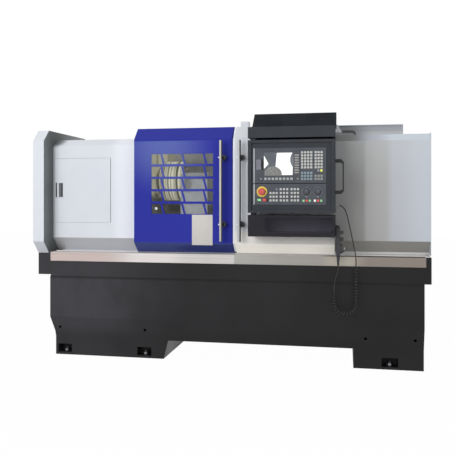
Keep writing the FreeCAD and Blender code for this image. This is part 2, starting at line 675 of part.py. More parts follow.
def bed_casting():
    """Bed with a vee way and a flat way on waisted walls, cross ribs, and a motor bay at its left end."""
    low = TRAY_FLOOR + BED_FOOT
    waist_low, waist_high = low + BED_WAIST, WAY_Z - WAY_DEPTH - BED_WAIST
    back, front = BED_BACK - BED_WAIST, BED_FRONT + BED_WAIST
    section = [(BED_FRONT, TRAY_FLOOR), (BED_BACK, TRAY_FLOOR), (BED_BACK, low), (back, waist_low),
               (back, waist_high), (BED_BACK, WAY_Z - WAY_DEPTH), (BED_BACK, WAY_Z), (BED_FRONT, WAY_Z),
               (BED_FRONT, WAY_Z - WAY_DEPTH), (front, waist_high), (front, waist_low), (BED_FRONT, low)]
    bed = prism_x(section, BED_LEFT, BED_RIGHT)
    bed = bed.fuse(prism_x(vee_outline(0), HEADSTOCK_RIGHT, BED_RIGHT))
    start = HEADSTOCK_RIGHT + CHUTE_SIDE
    pitch = (BED_RIGHT - RIB_THICKNESS - start) / BED_RIBS
    inner = BED_FRONT + WAY_WIDTH
    chute = [(inner, low + CHUTE_HIGH), (BED_FRONT, low + CHUTE_LOW), (BED_FRONT, low + CHUTE_SILL),
             (inner, low + SLOT_FLOOR)]
    for i in range(BED_RIBS):
        x0, x1 = start + i * pitch, start + (i + 1) * pitch - RIB_THICKNESS
        bed = bed.cut(box(x0, x1, inner, BED_BACK - WAY_WIDTH, low + SLOT_FLOOR, WAY_Z))
        bed = bed.cut(prism_x(chute, x0 + CHUTE_SIDE, x1 - CHUTE_SIDE))
    bay = box(BED_LEFT, BED_LEFT + MOTOR_BAY_LENGTH, BED_FRONT + MOTOR_BAY_WALL, BED_BACK - MOTOR_BAY_WALL,
              MOTOR_Z - MOTOR_SIDE / 2, MOTOR_Z + MOTOR_BAY_RISE)
    bed = bed.cut(bay)
    for x0, x1 in ((SCREW_LEFT - 25, SCREW_LEFT), (BED_RIGHT - 30, BED_RIGHT)):
        bed = bed.fuse(box(x0, x1, SCREW_Y - LUG_HALF, front, SCREW_Z - LUG_HALF, SCREW_Z + LUG_HALF))
    return bed.cut(rod(SCREW_RADIUS + RUNNING_FIT, (SCREW_LEFT - 15, SCREW_Y, SCREW_Z),
                       (BED_RIGHT, SCREW_Y, SCREW_Z)))


def headstock_casting():
    """Gear housing with rounded shoulders, a front bearing flange and the spindle's bore."""
    block = box(HEADSTOCK_LEFT, HEADSTOCK_RIGHT, BED_FRONT + 5, BED_BACK - 5, WAY_Z, HEADSTOCK_TOP)
    shoulders = [e for e in block.Edges if abs(e.tangentAt(e.FirstParameter).x) > 0.9
                 and e.CenterOfMass.z > HEADSTOCK_TOP - 1]
    block = block.makeFillet(HEADSTOCK_ROUNDING, shoulders)
    left = (HEADSTOCK_LEFT - REAR_CAP_THICKNESS, SPINDLE_Y, SPINDLE_Z)
    right = (HEADSTOCK_RIGHT + NOSE_CAP_THICKNESS, SPINDLE_Y, SPINDLE_Z)
    nose_cap = rod(NOSE_CAP_RADIUS, (HEADSTOCK_RIGHT - 1, SPINDLE_Y, SPINDLE_Z), right)
    rear_cap = rod(REAR_CAP_RADIUS, left, (HEADSTOCK_LEFT + 1, SPINDLE_Y, SPINDLE_Z))
    block = block.multiFuse([nose_cap, rear_cap])
    return block.cut(rod(SPINDLE_RADIUS + RUNNING_FIT, left, right))


def spindle():
    """Hollow spindle with its crowned belt pulley at the left and a mounting flange for the chuck."""
    start = PULLEY_LEFT - PULLEY_HUB
    flange = CHUCK_BACK_X - CHUCK_FLANGE_THICKNESS
    pulley_end = PULLEY_LEFT + PULLEY_WIDTH
    profile = [(0, SPINDLE_BORE), (0, SPINDLE_PULLEY), (pulley_end - start, SPINDLE_PULLEY)]
    profile += [(pulley_end - start, SPINDLE_RADIUS), (flange - start, SPINDLE_RADIUS),
                (flange - start, CHUCK_FLANGE_RADIUS), (CHUCK_BACK_X - start, CHUCK_FLANGE_RADIUS),
                (CHUCK_BACK_X - start, SPINDLE_BORE)]
    return turned(profile, (start, SPINDLE_Y, SPINDLE_Z), (1, 0, 0))


def belt_loop(radius_top, radius_bottom):
    """Outline face of a band's outside, tangent to two pulleys one above the other."""
    drop = MOTOR_SHAFT_DROP
    lean = math.asin((radius_top - radius_bottom) / drop)

    def on(radius, z, angle):
        """Point on a pulley's circle."""
        return Vec(0, SPINDLE_Y + radius * math.cos(angle), z + radius * math.sin(angle))

    right_top = on(radius_top, SPINDLE_Z, -lean)
    right_low = on(radius_bottom, MOTOR_Z, -lean)
    left_top = on(radius_top, SPINDLE_Z, math.pi + lean)
    left_low = on(radius_bottom, MOTOR_Z, math.pi + lean)
    edges = [Part.LineSegment(right_low, right_top).toShape(),
             Part.Arc(right_top, on(radius_top, SPINDLE_Z, math.pi / 2), left_top).toShape(),
             Part.LineSegment(left_top, left_low).toShape(),
             Part.Arc(left_low, on(radius_bottom, MOTOR_Z, -math.pi / 2), right_low).toShape()]
    return Part.Face(Part.Wire(edges))


def drive_belt():
    """Flat ribbed belt between the motor's and the spindle's pulleys."""
    outer = belt_loop(SPINDLE_PULLEY + SEAT + BELT_THICKNESS, MOTOR_PULLEY + SEAT + BELT_THICKNESS)
    inner = belt_loop(SPINDLE_PULLEY + SEAT, MOTOR_PULLEY + SEAT)
    width = PULLEY_WIDTH - 2 * BELT_MARGIN
    band = outer.extrude(Vec(width, 0, 0)).cut(inner.extrude(Vec(width, 0, 0)))
    band.translate(Vec(PULLEY_LEFT + BELT_MARGIN, 0, 0))
    return band


def spindle_motor():
    """Square finned motor in the bed's bay, its shaft out at the left end."""
    low, high = MOTOR_Z - MOTOR_SIDE / 2, MOTOR_Z + MOTOR_SIDE / 2
    y0, y1 = SPINDLE_Y - MOTOR_SIDE / 2, SPINDLE_Y + MOTOR_SIDE / 2
    x0 = BED_LEFT + MOTOR_INSET
    body = rounded_box(x0, x0 + MOTOR_LENGTH, y0, y1, low, high, MOTOR_CORNER, (1, 0, 0))
    for i in range(MOTOR_GROOVES):
        z = MOTOR_Z + (i - (MOTOR_GROOVES - 1) / 2) * GROOVE_PITCH
        for y in (y0, y1 - GROOVE_DEPTH):
            body = body.cut(box(x0 + GROOVE_START, x0 + MOTOR_LENGTH - GROOVE_END, y, y + GROOVE_DEPTH,
                                z - GROOVE_WIDTH / 2, z + GROOVE_WIDTH / 2))
    shaft = rod(MOTOR_SHAFT, (PULLEY_LEFT + 2, SPINDLE_Y, MOTOR_Z), (x0 + 1, SPINDLE_Y, MOTOR_Z))
    return body.fuse(shaft)


def motor_pulley():
    """Pulley on the motor's shaft, in line with the spindle's pulley."""
    wheel = faceted([(0, MOTOR_PULLEY), (PULLEY_WIDTH, MOTOR_PULLEY)], 3 * SMALL_SIDES,
                    (PULLEY_LEFT, SPINDLE_Y, MOTOR_Z), (1, 0, 0))
    return wheel.cut(faceted_hole(MOTOR_SHAFT + SEAT, 2 * SMALL_SIDES, (PULLEY_LEFT, SPINDLE_Y, MOTOR_Z),
                                  (1, 0, 0), PULLEY_WIDTH))


def jaw_frame(shape, index):
    """Turn a piece from the top radius to one of the three jaws' radii."""
    turned_shape = shape.copy()
    turned_shape.rotate(Vec(0, SPINDLE_Y, SPINDLE_Z), Vec(1, 0, 0), 120 * index)
    return turned_shape


def jaw_slot(clearance):
    """Tee section of a jaw's guide, cut or filled, along the upward radius."""
    half = JAW_WIDTH / 2 + clearance
    y, x = SPINDLE_Y, CHUCK_FACE_X
    z0, z1 = SPINDLE_Z + JAW_INNER - 14, SPINDLE_Z + CHUCK_RADIUS + 4
    stem = box(x - 22, x + 1, y - half + 7, y + half - 7, z0, z1)
    tee = box(x - 22 - clearance, x - JAW_TONGUE + clearance, y - half, y + half, z0, z1)
    return stem.fuse(tee)


def chuck_body():
    """Three-jaw chuck: turned body with a stepped back, tee slots and square key sockets."""
    r, n = CHUCK_RADIUS, CHUCK_LENGTH
    step, edge = CHUCK_BACK_STEP, CHUCK_CHAMFER
    profile = [(0, CHUCK_BORE), (0, r - step), (step, r - step), (step, r), (n - edge, r), (n, r - edge),
               (n, CHUCK_BORE)]
    body = turned(profile, (CHUCK_BACK_X, SPINDLE_Y, SPINDLE_Z), (1, 0, 0))
    for i in range(3):
        body = body.cut(jaw_frame(jaw_slot(SEAT), i))
        socket = box(CHUCK_BACK_X + 30, CHUCK_BACK_X + 44, SPINDLE_Y - 7, SPINDLE_Y + 7, SPINDLE_Z - r - 2,
                     SPINDLE_Z - r + 22)
        body = body.cut(jaw_frame(socket, i))
    return body


def chuck_jaw(index):
    """Stepped hard jaw with its tee-shaped tongue."""
    x, y, z = CHUCK_FACE_X + SEAT, SPINDLE_Y, SPINDLE_Z + JAW_INNER
    half = JAW_WIDTH / 2
    steps = [(x, z), (x + JAW_HEIGHT, z), (x + JAW_HEIGHT, z + JAW_LENGTH * 0.34),
             (x + JAW_HEIGHT * 0.66, z + JAW_LENGTH * 0.34),
             (x + JAW_HEIGHT * 0.66, z + JAW_LENGTH * 0.67), (x + JAW_HEIGHT * 0.34, z + JAW_LENGTH * 0.67),
             (x + JAW_HEIGHT * 0.34, z + JAW_LENGTH), (x, z + JAW_LENGTH)]
    jaw = prism_y(steps, y - half, y + half)
    for side in (-1, 1):
        bevel = [(y + side * half, z - 1), (y + side * half, z + 14), (y + side * 5, z - 1)]
        jaw = jaw.cut(prism_x(bevel, x - 1, x + JAW_HEIGHT + 1))
    stem = box(CHUCK_FACE_X - 22 + SEAT, x, y - half + 7, y + half - 7, z, z + JAW_LENGTH)
    tee = box(CHUCK_FACE_X - 22 + SEAT, CHUCK_FACE_X - JAW_TONGUE - SEAT, y - half, y + half, z,
              z + JAW_LENGTH)
    return jaw_frame(jaw.multiFuse([stem, tee]), index)


# ---- Carriage and tailstock ----
def carriage():
    """Saddle on the ways with a vee groove, an apron round the ball screw and a raised cross way."""
    saddle = rounded_box(CARRIAGE_LEFT, CARRIAGE_RIGHT, CARRIAGE_FRONT, CARRIAGE_BACK, WAY_Z + SEAT,
                         CARRIAGE_TOP, 12, (0, 0, 1))
    cheek = box(CARRIAGE_LEFT, CARRIAGE_RIGHT, SLIDE_FRONT, SLIDE_BACK, CARRIAGE_TOP - 24, CARRIAGE_TOP)
    saddle = saddle.cut(cheek)
    saddle = saddle.fuse(box(SLIDE_LEFT, SLIDE_RIGHT, SLIDE_FRONT, SLIDE_BACK, CARRIAGE_TOP - 25,
                             CARRIAGE_TOP))
    apron = box(APRON_LEFT, APRON_RIGHT, CARRIAGE_FRONT - 8, BED_FRONT - 2, SCREW_Z - 32, WAY_Z + 20)
    saddle = saddle.fuse(apron)
    saddle = saddle.cut(prism_x(vee_outline(SEAT), CARRIAGE_LEFT, CARRIAGE_RIGHT))
    return saddle.cut(rod(SCREW_RADIUS + SEAT, (APRON_LEFT, SCREW_Y, SCREW_Z),
                          (APRON_RIGHT, SCREW_Y, SCREW_Z)))


def carriage_splash_plate():
    """Bent guard on the saddle's front: upright, then a quarter round towards the chuck."""
    y0 = CARRIAGE_FRONT - SHEET
    centre_y = y0 + SPLASH_BEND

    def section(y, radius):
        """Start, middle and end of one face's quarter round."""
        mid = Vec(0, centre_y - radius * math.cos(math.pi / 4),
                  SPLASH_KNEE + radius * math.sin(math.pi / 4))
        return Vec(0, y, SPLASH_KNEE), mid, Vec(0, centre_y, SPLASH_KNEE + radius)

    out_start, out_mid, out_end = section(y0, SPLASH_BEND)
    in_start, in_mid, in_end = section(y0 + SHEET, SPLASH_BEND - SHEET)
    low_out, low_in = Vec(0, y0, SPLASH_BOTTOM), Vec(0, y0 + SHEET, SPLASH_BOTTOM)
    edges = [Part.LineSegment(low_out, out_start).toShape(),
             Part.Arc(out_start, out_mid, out_end).toShape(),
             Part.LineSegment(out_end, in_end).toShape(), Part.Arc(in_end, in_mid, in_start).toShape(),
             Part.LineSegment(in_start, low_in).toShape(), Part.LineSegment(low_in, low_out).toShape()]
    plate = Part.Face(Part.Wire(edges)).extrude(Vec(SPLASH_RIGHT - SPLASH_LEFT, 0, 0))
    plate.translate(Vec(SPLASH_LEFT, 0, 0))
    return plate


def cross_slide():
    """Slide across the saddle with a round seat for the tool post."""
    slab = rounded_box(SLIDE_LEFT, SLIDE_RIGHT, SLIDE_FRONT, SLIDE_BACK, SLIDE_BASE, SLIDE_TOP, 8,
                       (0, 0, 1))
    for x in (SLIDE_LEFT + 22, SLIDE_RIGHT - 34):
        slab = slab.cut(box(x, x + 12, POST_Y + POST_BASE_RADIUS + 20, SLIDE_BACK, SLIDE_TOP - 14,
                            SLIDE_TOP))
    seat = rod(POST_BASE_RADIUS, (POST_X, POST_Y, SLIDE_TOP - 1), (POST_X, POST_Y, POST_BASE_TOP))
    return slab.fuse(seat)


def turret_head():
    """Square four-way tool post: a tool slot along each side and two clamp screws over each slot."""
    z0 = POST_BASE_TOP + SEAT
    half = POST_SIDE / 2
    head = rounded_box(POST_X - half, POST_X + half, POST_Y - half, POST_Y + half, z0, z0 + POST_HEIGHT, 10,
                       (0, 0, 1))
    slot_z = z0 + (POST_HEIGHT - TOOL_SLOT) / 2
    screws = []
    for i in range(4):
        slot = box(POST_X - half, POST_X + half, POST_Y - half, POST_Y - half + TOOL_SLOT_DEPTH, slot_z,
                   slot_z + TOOL_SLOT)
        slot.rotate(Vec(POST_X, POST_Y, 0), Vec(0, 0, 1), 90 * i)
        head = head.cut(slot)
        for x in (-CLAMP_SCREW_PITCH / 2, CLAMP_SCREW_PITCH / 2):
            y = POST_Y - half + TOOL_SLOT_DEPTH / 2
            screw = faceted([(0, CLAMP_SCREW_RADIUS), (13, CLAMP_SCREW_RADIUS)], 6,
                            (POST_X + x, y, z0 + POST_HEIGHT - 1), (0, 0, 1))
            screw.rotate(Vec(POST_X, POST_Y, 0), Vec(0, 0, 1), 90 * i)
            screws.append(screw)
    cap = faceted([(0, POST_CAP_RADIUS), (13, POST_CAP_RADIUS), (17, POST_CAP_RADIUS - 4)], KNOB_SIDES,
                  (POST_X, POST_Y, z0 + POST_HEIGHT - 1), (0, 0, 1))
    return head.multiFuse(screws + [cap])


def z_ballscrew():
    """Long feed screw with a stepped end for the motor's coupling."""
    length = BED_RIGHT - (SCREW_LEFT - 15)
    r, j = SCREW_RADIUS, SCREW_RADIUS - 4
    profile = [(0, 0), (0, r), (length, r), (length, j), (length + 4, j), (length + 4, 0)]
    return turned(profile, (SCREW_LEFT - 15, SCREW_Y, SCREW_Z), (1, 0, 0))


def z_servo_motor():
    """Servo motor on the bed's right end, in line with the feed screw."""
    x0, x1 = BED_RIGHT + SEAT, BED_RIGHT + SEAT + SERVO_LENGTH
    h, b, p = SERVO_SIDE / 2, SERVO_SIDE / 2 - SERVO_STEP, SERVO_PLUG / 2
    flange = box(x0, x0 + SERVO_FLANGE, SCREW_Y - h, SCREW_Y + h, SCREW_Z - h, SCREW_Z + h)
    body = box(x0 + SERVO_FLANGE - 1, x1, SCREW_Y - b, SCREW_Y + b, SCREW_Z - b, SCREW_Z + b)
    corners = [e for e in body.Edges if abs(e.tangentAt(e.FirstParameter).x) > 0.9]
    body = body.makeChamfer(SERVO_CHAMFER, corners)
    plug = box(x1 - 5 * p, x1 - 5 * p / 2, SCREW_Y - p, SCREW_Y + p, SCREW_Z + b - 1,
               SCREW_Z + b + SERVO_PLUG)
    motor = flange.multiFuse([body, plug])
    return motor.cut(rod(SCREW_RADIUS, (x0 - 1, SCREW_Y, SCREW_Z), (x0 + 6, SCREW_Y, SCREW_Z)))


def tailstock_body():
    """Tailstock casting: a foot on the ways, tapered cheeks and a bored barrel."""
    base = box(TAILSTOCK_LEFT, TAILSTOCK_RIGHT, BED_FRONT + 2, BED_BACK - 2, WAY_Z + SEAT, WAY_Z + 56)
    cheek = [(BED_FRONT + 30, WAY_Z + 50), (BED_BACK - 30, WAY_Z + 50),
             (SPINDLE_Y + BARREL_RADIUS, SPINDLE_Z), (SPINDLE_Y - BARREL_RADIUS, SPINDLE_Z)]
    neck = prism_x(cheek, TAILSTOCK_LEFT + 20, TAILSTOCK_RIGHT - 20)
    barrel = rod(BARREL_RADIUS, (TAILSTOCK_LEFT - BARREL_OVERHANG, SPINDLE_Y, SPINDLE_Z),
                 (TAILSTOCK_RIGHT + BARREL_OVERHANG, SPINDLE_Y, SPINDLE_Z))
    body = base.multiFuse([neck, barrel])
    body = body.cut(prism_x(vee_outline(SEAT), TAILSTOCK_LEFT, TAILSTOCK_RIGHT))
    mouth = (TAILSTOCK_LEFT - BARREL_OVERHANG, SPINDLE_Y, SPINDLE_Z)
    return body.cut(rod(QUILL_RADIUS + RUNNING_FIT, mouth, (TAILSTOCK_RIGHT - 10, SPINDLE_Y, SPINDLE_Z)))


def tailstock_quill():
    """Sliding quill with a tapered socket in its nose."""
    profile = [(0, TAPER_MOUTH), (0, QUILL_RADIUS), (QUILL_LENGTH, QUILL_RADIUS),
               (QUILL_LENGTH, 0), (TAPER_DEPTH, 0), (TAPER_DEPTH, TAPER_END)]
    return turned(profile, (QUILL_TIP_X, SPINDLE_Y, SPINDLE_Z), (1, 0, 0))


# ---- Fixed covers ----
def cover_profile():
    """Outer section of both fixed covers, from the foot flange up the front and back along the roof."""
    low_y = COVER_FRONT + COVER_LOWER_RUN
    return [(low_y + COVER_FOOT, SILL_TOP), (low_y, SILL_TOP), (COVER_FRONT, COVER_LOWER_FOLD),
            (COVER_FRONT, COVER_UPPER_FOLD), (COVER_FRONT + COVER_UPPER_RUN, COVER_TOP),
            (COVER_BACK, COVER_TOP)]


def cover_end(x0, x1):
    """End wall of the headstock cover, with its foot on the tray's rim."""
    wall = [(COVER_BACK, SILL_TOP)] + cover_profile()[1:]
    return prism_x(wall, x0, x1)


def headstock_cover():
    """Recessed cover over the headstock, with the hatch's opening, hinge blocks and the chuck's hole."""
    shell = prism_x(fold(cover_profile(), SHEET), HEAD_COVER_LEFT, HEAD_COVER_RIGHT)
    end = cover_end(HEAD_COVER_RIGHT - SHEET, HEAD_COVER_RIGHT)
    bed_gap = box(HEAD_COVER_RIGHT - SHEET, HEAD_COVER_RIGHT, BED_FRONT - 4, BED_BACK + 4, SILL_TOP,
                  WAY_Z + VEE_HEIGHT + 2)
    screw_gap = rod(26, (HEAD_COVER_RIGHT - SHEET, SCREW_Y, SCREW_Z), (HEAD_COVER_RIGHT, SCREW_Y, SCREW_Z))
    nose = rod(NOSE_OPENING / 2 + 40, (HEAD_COVER_RIGHT - SHEET, SPINDLE_Y, SPINDLE_Z),
               (HEAD_COVER_RIGHT, SPINDLE_Y, SPINDLE_Z))
    end = end.cut(bed_gap).cut(nose).cut(screw_gap)
    cover = shell.fuse(end)
    cutout = box(HATCH_LEFT - HATCH_GAP, HATCH_RIGHT + HATCH_HINGE_GAP, COVER_FRONT, COVER_FRONT + SHEET,
                 HATCH_BOTTOM - HATCH_GAP, HATCH_TOP + HATCH_GAP)
    cover = cover.cut(cutout)
    pin_x, pin_y = hatch_pivot()
    for z0, z1 in ((HATCH_BOTTOM - HATCH_GAP - 16, HATCH_BOTTOM - HATCH_GAP),
                   (HATCH_TOP + HATCH_GAP, HATCH_TOP + HATCH_GAP + 16)):
        block = box(pin_x - 9, pin_x + 16, COVER_FRONT + SHEET, pin_y + 8, z0, z1)
        cover = cover.fuse(block)
        cover = cover.cut(faceted_hole(HATCH_PIN + RUNNING_FIT, SMALL_SIDES, (pin_x, pin_y, z0), (0, 0, 1),
                                       z1 - z0))
    return cover


def hatch_pivot():
    """Axis of the hatch's pivot pins, just behind its right edge."""
    return HATCH_RIGHT - 5.0, COVER_FRONT + SHEET + 2.0


def hatch_door():
    """Flush hatch plate with stiffening returns, pivot pins and the latch's cut-out."""
    left, right = HATCH_LEFT, HATCH_RIGHT
    plate = box(left, right, COVER_FRONT, COVER_FRONT + SHEET, HATCH_BOTTOM, HATCH_TOP)
    y0, y1 = COVER_FRONT + SHEET, COVER_FRONT + 20
    ribs = [box(left + 8, left + 8 + SHEET, y0, y1, HATCH_BOTTOM + 8, HATCH_TOP - 8),
            box(left + 8, right - 24, y0, y1, HATCH_BOTTOM + 8, HATCH_BOTTOM + 8 + SHEET),
            box(left + 8, right - 24, y0, y1, HATCH_TOP - 8 - SHEET, HATCH_TOP - 8)]
    plate = plate.multiFuse(ribs)
    pin_x, pin_y = hatch_pivot()
    for z0, z1, tip in ((HATCH_BOTTOM, HATCH_BOTTOM + 18, HATCH_BOTTOM - 12),
                        (HATCH_TOP - 18, HATCH_TOP, HATCH_TOP + 12)):
        ear = faceted([(z0, 4.4), (z1, 4.4)], SMALL_SIDES, (pin_x, pin_y, 0), (0, 0, 1))
        pin = faceted([(min(tip, z0), HATCH_PIN), (max(tip, z1), HATCH_PIN)], SMALL_SIDES,
                      (pin_x, pin_y, 0), (0, 0, 1))
        plate = plate.multiFuse([ear, pin])
    half = PADDLE_WIDTH / 2 + SEAT
    x = LATCH_CENTRE_X
    slot = box(x - half, x + half, COVER_FRONT, y0, LATCH_BOTTOM + 4, LATCH_TOP - 4)
    dish = box(x - half - 2, x + half + 2, y0, y0 + 14, LATCH_BOTTOM + 2, LATCH_TOP - 2)
    dish = dish.cut(box(x - half, x + half, y0, y0 + 12, LATCH_BOTTOM + 4, LATCH_TOP - 4))
    return plate.fuse(dish).cut(slot)


def hatch_latch():
    """Paddle of the flush latch, round at its foot, hung on a cross pin at its top."""
    x, half = LATCH_CENTRE_X, PADDLE_WIDTH / 2
    y0 = COVER_FRONT - 1
    low, high = LATCH_BOTTOM + 6, LATCH_TOP - 6
    paddle = box(x - half, x + half, y0, y0 + 4, low + half, high)
    foot = faceted([(0, half), (4, half)], 2 * SMALL_SIDES, (x, y0, low + half), (0, 1, 0))
    hub = faceted([(-half, 3.5), (half, 3.5)], SMALL_SIDES, (x, y0 + 4, high - 5), (1, 0, 0))
    return paddle.multiFuse([foot, hub])


def right_end_cover():
    """Cover over the bed's right end, with a square end plate and a return flange at its open left end."""
    shell = prism_x(fold(cover_profile(), SHEET), TAIL_COVER_LEFT, TAIL_COVER_RIGHT)
    end = box(TAIL_COVER_RIGHT - SHEET, TAIL_COVER_RIGHT, COVER_FRONT, COVER_BACK, SILL_TOP, COVER_TOP)
    lip = prism_x([(COVER_FRONT, COVER_LOWER_FOLD), (COVER_FRONT + DOOR_FLANGE, COVER_LOWER_FOLD),
                   (COVER_FRONT + DOOR_FLANGE, COVER_UPPER_FOLD), (COVER_FRONT, COVER_UPPER_FOLD)],
                  TAIL_COVER_LEFT, TAIL_COVER_LEFT + SHEET)
    return shell.multiFuse([end, lip])


def rear_splash_guard():
    """Back wall of the machine, stepped up behind the work area, with a stiffening flange along its top."""
    left, right = HEAD_COVER_LEFT, TAIL_COVER_RIGHT
    outline = [(left, TRAY_TOP), (TRAY_RIGHT, TRAY_TOP), (TRAY_RIGHT, SILL_TOP + 1), (right, SILL_TOP + 1),
               (right, COVER_TOP), (SPLASH_WALL_RIGHT, COVER_TOP), (SPLASH_WALL_RIGHT, SPLASH_WALL_TOP),
               (SPLASH_WALL_LEFT, SPLASH_WALL_TOP), (SPLASH_WALL_LEFT, COVER_TOP), (left, COVER_TOP)]
    wall = prism_y(outline, COVER_BACK, TRAY_BACK)
    flange = box(SPLASH_WALL_LEFT, SPLASH_WALL_RIGHT, COVER_BACK - 24, COVER_BACK + 1,
                 SPLASH_WALL_TOP - SHEET, SPLASH_WALL_TOP)
    return wall.fuse(flange)


def end_guard():
    """Folded column that closes the machine's left end and stands level with the doors."""
    front = DOOR_FRONT
    facet = front + DOOR_FACET
    outer = [(TRAY_BACK, TRAY_TOP), (facet, TRAY_TOP), (front, GUARD_LOWER_FOLD),
             (front, GUARD_UPPER_FOLD), (facet, GUARD_TOP), (TRAY_BACK, GUARD_TOP)]
    column = prism_x(outer, GUARD_LEFT, HEAD_COVER_LEFT)
    s = SHEET
    inner = [(TRAY_BACK - s, TRAY_TOP), (facet + s, TRAY_TOP), (front + s, GUARD_LOWER_FOLD + 1),
             (front + s, GUARD_UPPER_FOLD - 1), (facet + s, GUARD_TOP - s), (TRAY_BACK - s, GUARD_TOP - s)]
    return column.cut(prism_x(inner, GUARD_LEFT + s, HEAD_COVER_LEFT - s))


def roof_rail():
    """Flat bar across both covers' roofs; the hooks at the doors' upper edges run behind it."""
    return box(HEAD_COVER_LEFT + 10, TAIL_COVER_RIGHT - 5, RAIL_BACK - RAIL_WIDTH, RAIL_BACK,
               COVER_TOP, COVER_TOP + RAIL_HEIGHT)


# ---- Doors ----
def door_profile():
    """Outer section of both doors, from the foot flange to the hook behind the roof rail."""
    facet = DOOR_FRONT + DOOR_FACET
    return [(facet + DOOR_FOOT, DOOR_BOTTOM), (facet, DOOR_BOTTOM), (DOOR_FRONT, DOOR_LOWER_FOLD),
            (DOOR_FRONT, DOOR_UPPER_FOLD), (facet, DOOR_TOP), (DOOR_ROOF_BACK, DOOR_TOP),
            (DOOR_ROOF_BACK, COVER_TOP + DOOR_HOOK_GAP)]


def door_side(x0, x1, back):
    """Side wall of a door, from its front back to a plane."""
    facet = DOOR_FRONT + DOOR_FACET
    outline = [(back, DOOR_BOTTOM), (facet, DOOR_BOTTOM), (DOOR_FRONT, DOOR_LOWER_FOLD),
               (DOOR_FRONT, DOOR_UPPER_FOLD), (facet, DOOR_TOP), (back, DOOR_TOP)]
    return prism_x(outline, x0, x1)


def door_flange(x0, x1):
    """Narrow return where one door meets the other."""
    front = DOOR_FRONT
    outline = [(front, DOOR_LOWER_FOLD), (front + DOOR_FLANGE, DOOR_LOWER_FOLD),
               (front + DOOR_FLANGE, DOOR_UPPER_FOLD), (front, DOOR_UPPER_FOLD)]
    return prism_x(outline, x0, x1)


def left_door_shell():
    """Folded door whose window is a lattice of level and slanted bars cut from the sheet."""
    door = prism_x(fold(door_profile(), SHEET), LEFT_DOOR_LEFT, LEFT_DOOR_RIGHT)
    door = door.fuse(door_side(LEFT_DOOR_LEFT, LEFT_DOOR_LEFT + SHEET, DOOR_SIDE_BACK))
    door = door.fuse(door_flange(LEFT_DOOR_RIGHT - SHEET, LEFT_DOOR_RIGHT))
    cells = []
    for row in range(WINDOW_ROWS):
        top = WINDOW_TOP - row * WINDOW_PITCH
        low = top - WINDOW_OPENING
        lefts = [(WINDOW_LEFT, WINDOW_LEFT)]
        rights = []
        for start in BAR_STARTS:
            x = WINDOW_LEFT + start
            rights.append((x, x + BAR_LEAN))
            lefts.append((x + BAR_WIDTH, x + BAR_WIDTH + BAR_LEAN))
        rights.append((WINDOW_RIGHT, WINDOW_RIGHT))
        for left, right in zip(lefts, rights):
            cell = [(left[0], top), (right[0], top), (right[1], low), (left[1], low)]
            cells.append(prism_y(cell, DOOR_FRONT, DOOR_FRONT + SHEET))
    return door.cut(Part.makeCompound(cells))


def left_window_pane():
    """Clear pane behind the lattice."""
    bottom = WINDOW_TOP - WINDOW_ROWS * WINDOW_PITCH + (WINDOW_PITCH - WINDOW_OPENING)
    y = DOOR_FRONT + SHEET
    return box(WINDOW_LEFT - PANE_BORDER, WINDOW_RIGHT + PANE_BORDER, y, y + PANE_THICKNESS,
               bottom - PANE_BORDER, WINDOW_TOP + PANE_BORDER)


def right_door_shell():
    """Folded door that carries the console, with a hanger bracket and a gusset welded to its roof."""
    door = prism_x(fold(door_profile(), SHEET), RIGHT_DOOR_LEFT, RIGHT_DOOR_RIGHT)
    door = door.fuse(door_side(RIGHT_DOOR_RIGHT - SHEET, RIGHT_DOOR_RIGHT, DOOR_SIDE_BACK))
    door = door.fuse(door_flange(RIGHT_DOOR_LEFT, RIGHT_DOOR_LEFT + SHEET))
    facet = DOOR_FRONT + DOOR_FACET
    back = facet + HANGER_DEPTH
    hanger = box(HANGER_LEFT, HANGER_RIGHT, facet, back, DOOR_TOP - 1, DOOR_TOP + HANGER_HEIGHT)
    hanger = hanger.cut(box(HANGER_LEFT + SHEET, HANGER_RIGHT - SHEET, facet + SHEET, back + 1, DOOR_TOP,
                            DOOR_TOP + HANGER_HEIGHT - SHEET))
    root, foot = RIGHT_DOOR_RIGHT - 1, DOOR_TOP - GUSSET_HEIGHT
    outline = [(root, DOOR_TOP), (RIGHT_DOOR_RIGHT + GUSSET_TOP_REACH, DOOR_TOP),
               (RIGHT_DOOR_RIGHT + GUSSET_REACH, foot), (root, foot)]
    gusset = prism_y(outline, facet + GUSSET_SETBACK, facet + GUSSET_SETBACK + SHEET)
    return door.multiFuse([hanger, gusset])


def handle_tube(x):
    """Straight stainless pull."""
    return rod(HANDLE_RADIUS, (x, HANDLE_Y, HANDLE_BOTTOM), (x, HANDLE_Y, HANDLE_TOP))


def handle_brackets(x):
    """Two standoffs, each with a foot on the door and a saddle behind the tube."""
    reach = DOOR_FRONT - HANDLE_Y
    profile = [(0, STANDOFF_FOOT_RADIUS), (STANDOFF_FOOT, STANDOFF_FOOT_RADIUS),
               (STANDOFF_NECK, STANDOFF_RADIUS), (reach, STANDOFF_RADIUS)]
    parts = []
    for z in HANDLE_MOUNTS:
        neck = faceted(profile, KNOB_SIDES, (x, DOOR_FRONT, z), (0, -1, 0))
        seat = rod(HANDLE_RADIUS, (x, HANDLE_Y, z - STANDOFF_FOOT_RADIUS),
                   (x, HANDLE_Y, z + STANDOFF_FOOT_RADIUS))
        parts.append(neck.cut(seat))
    return Part.makeCompound(parts)


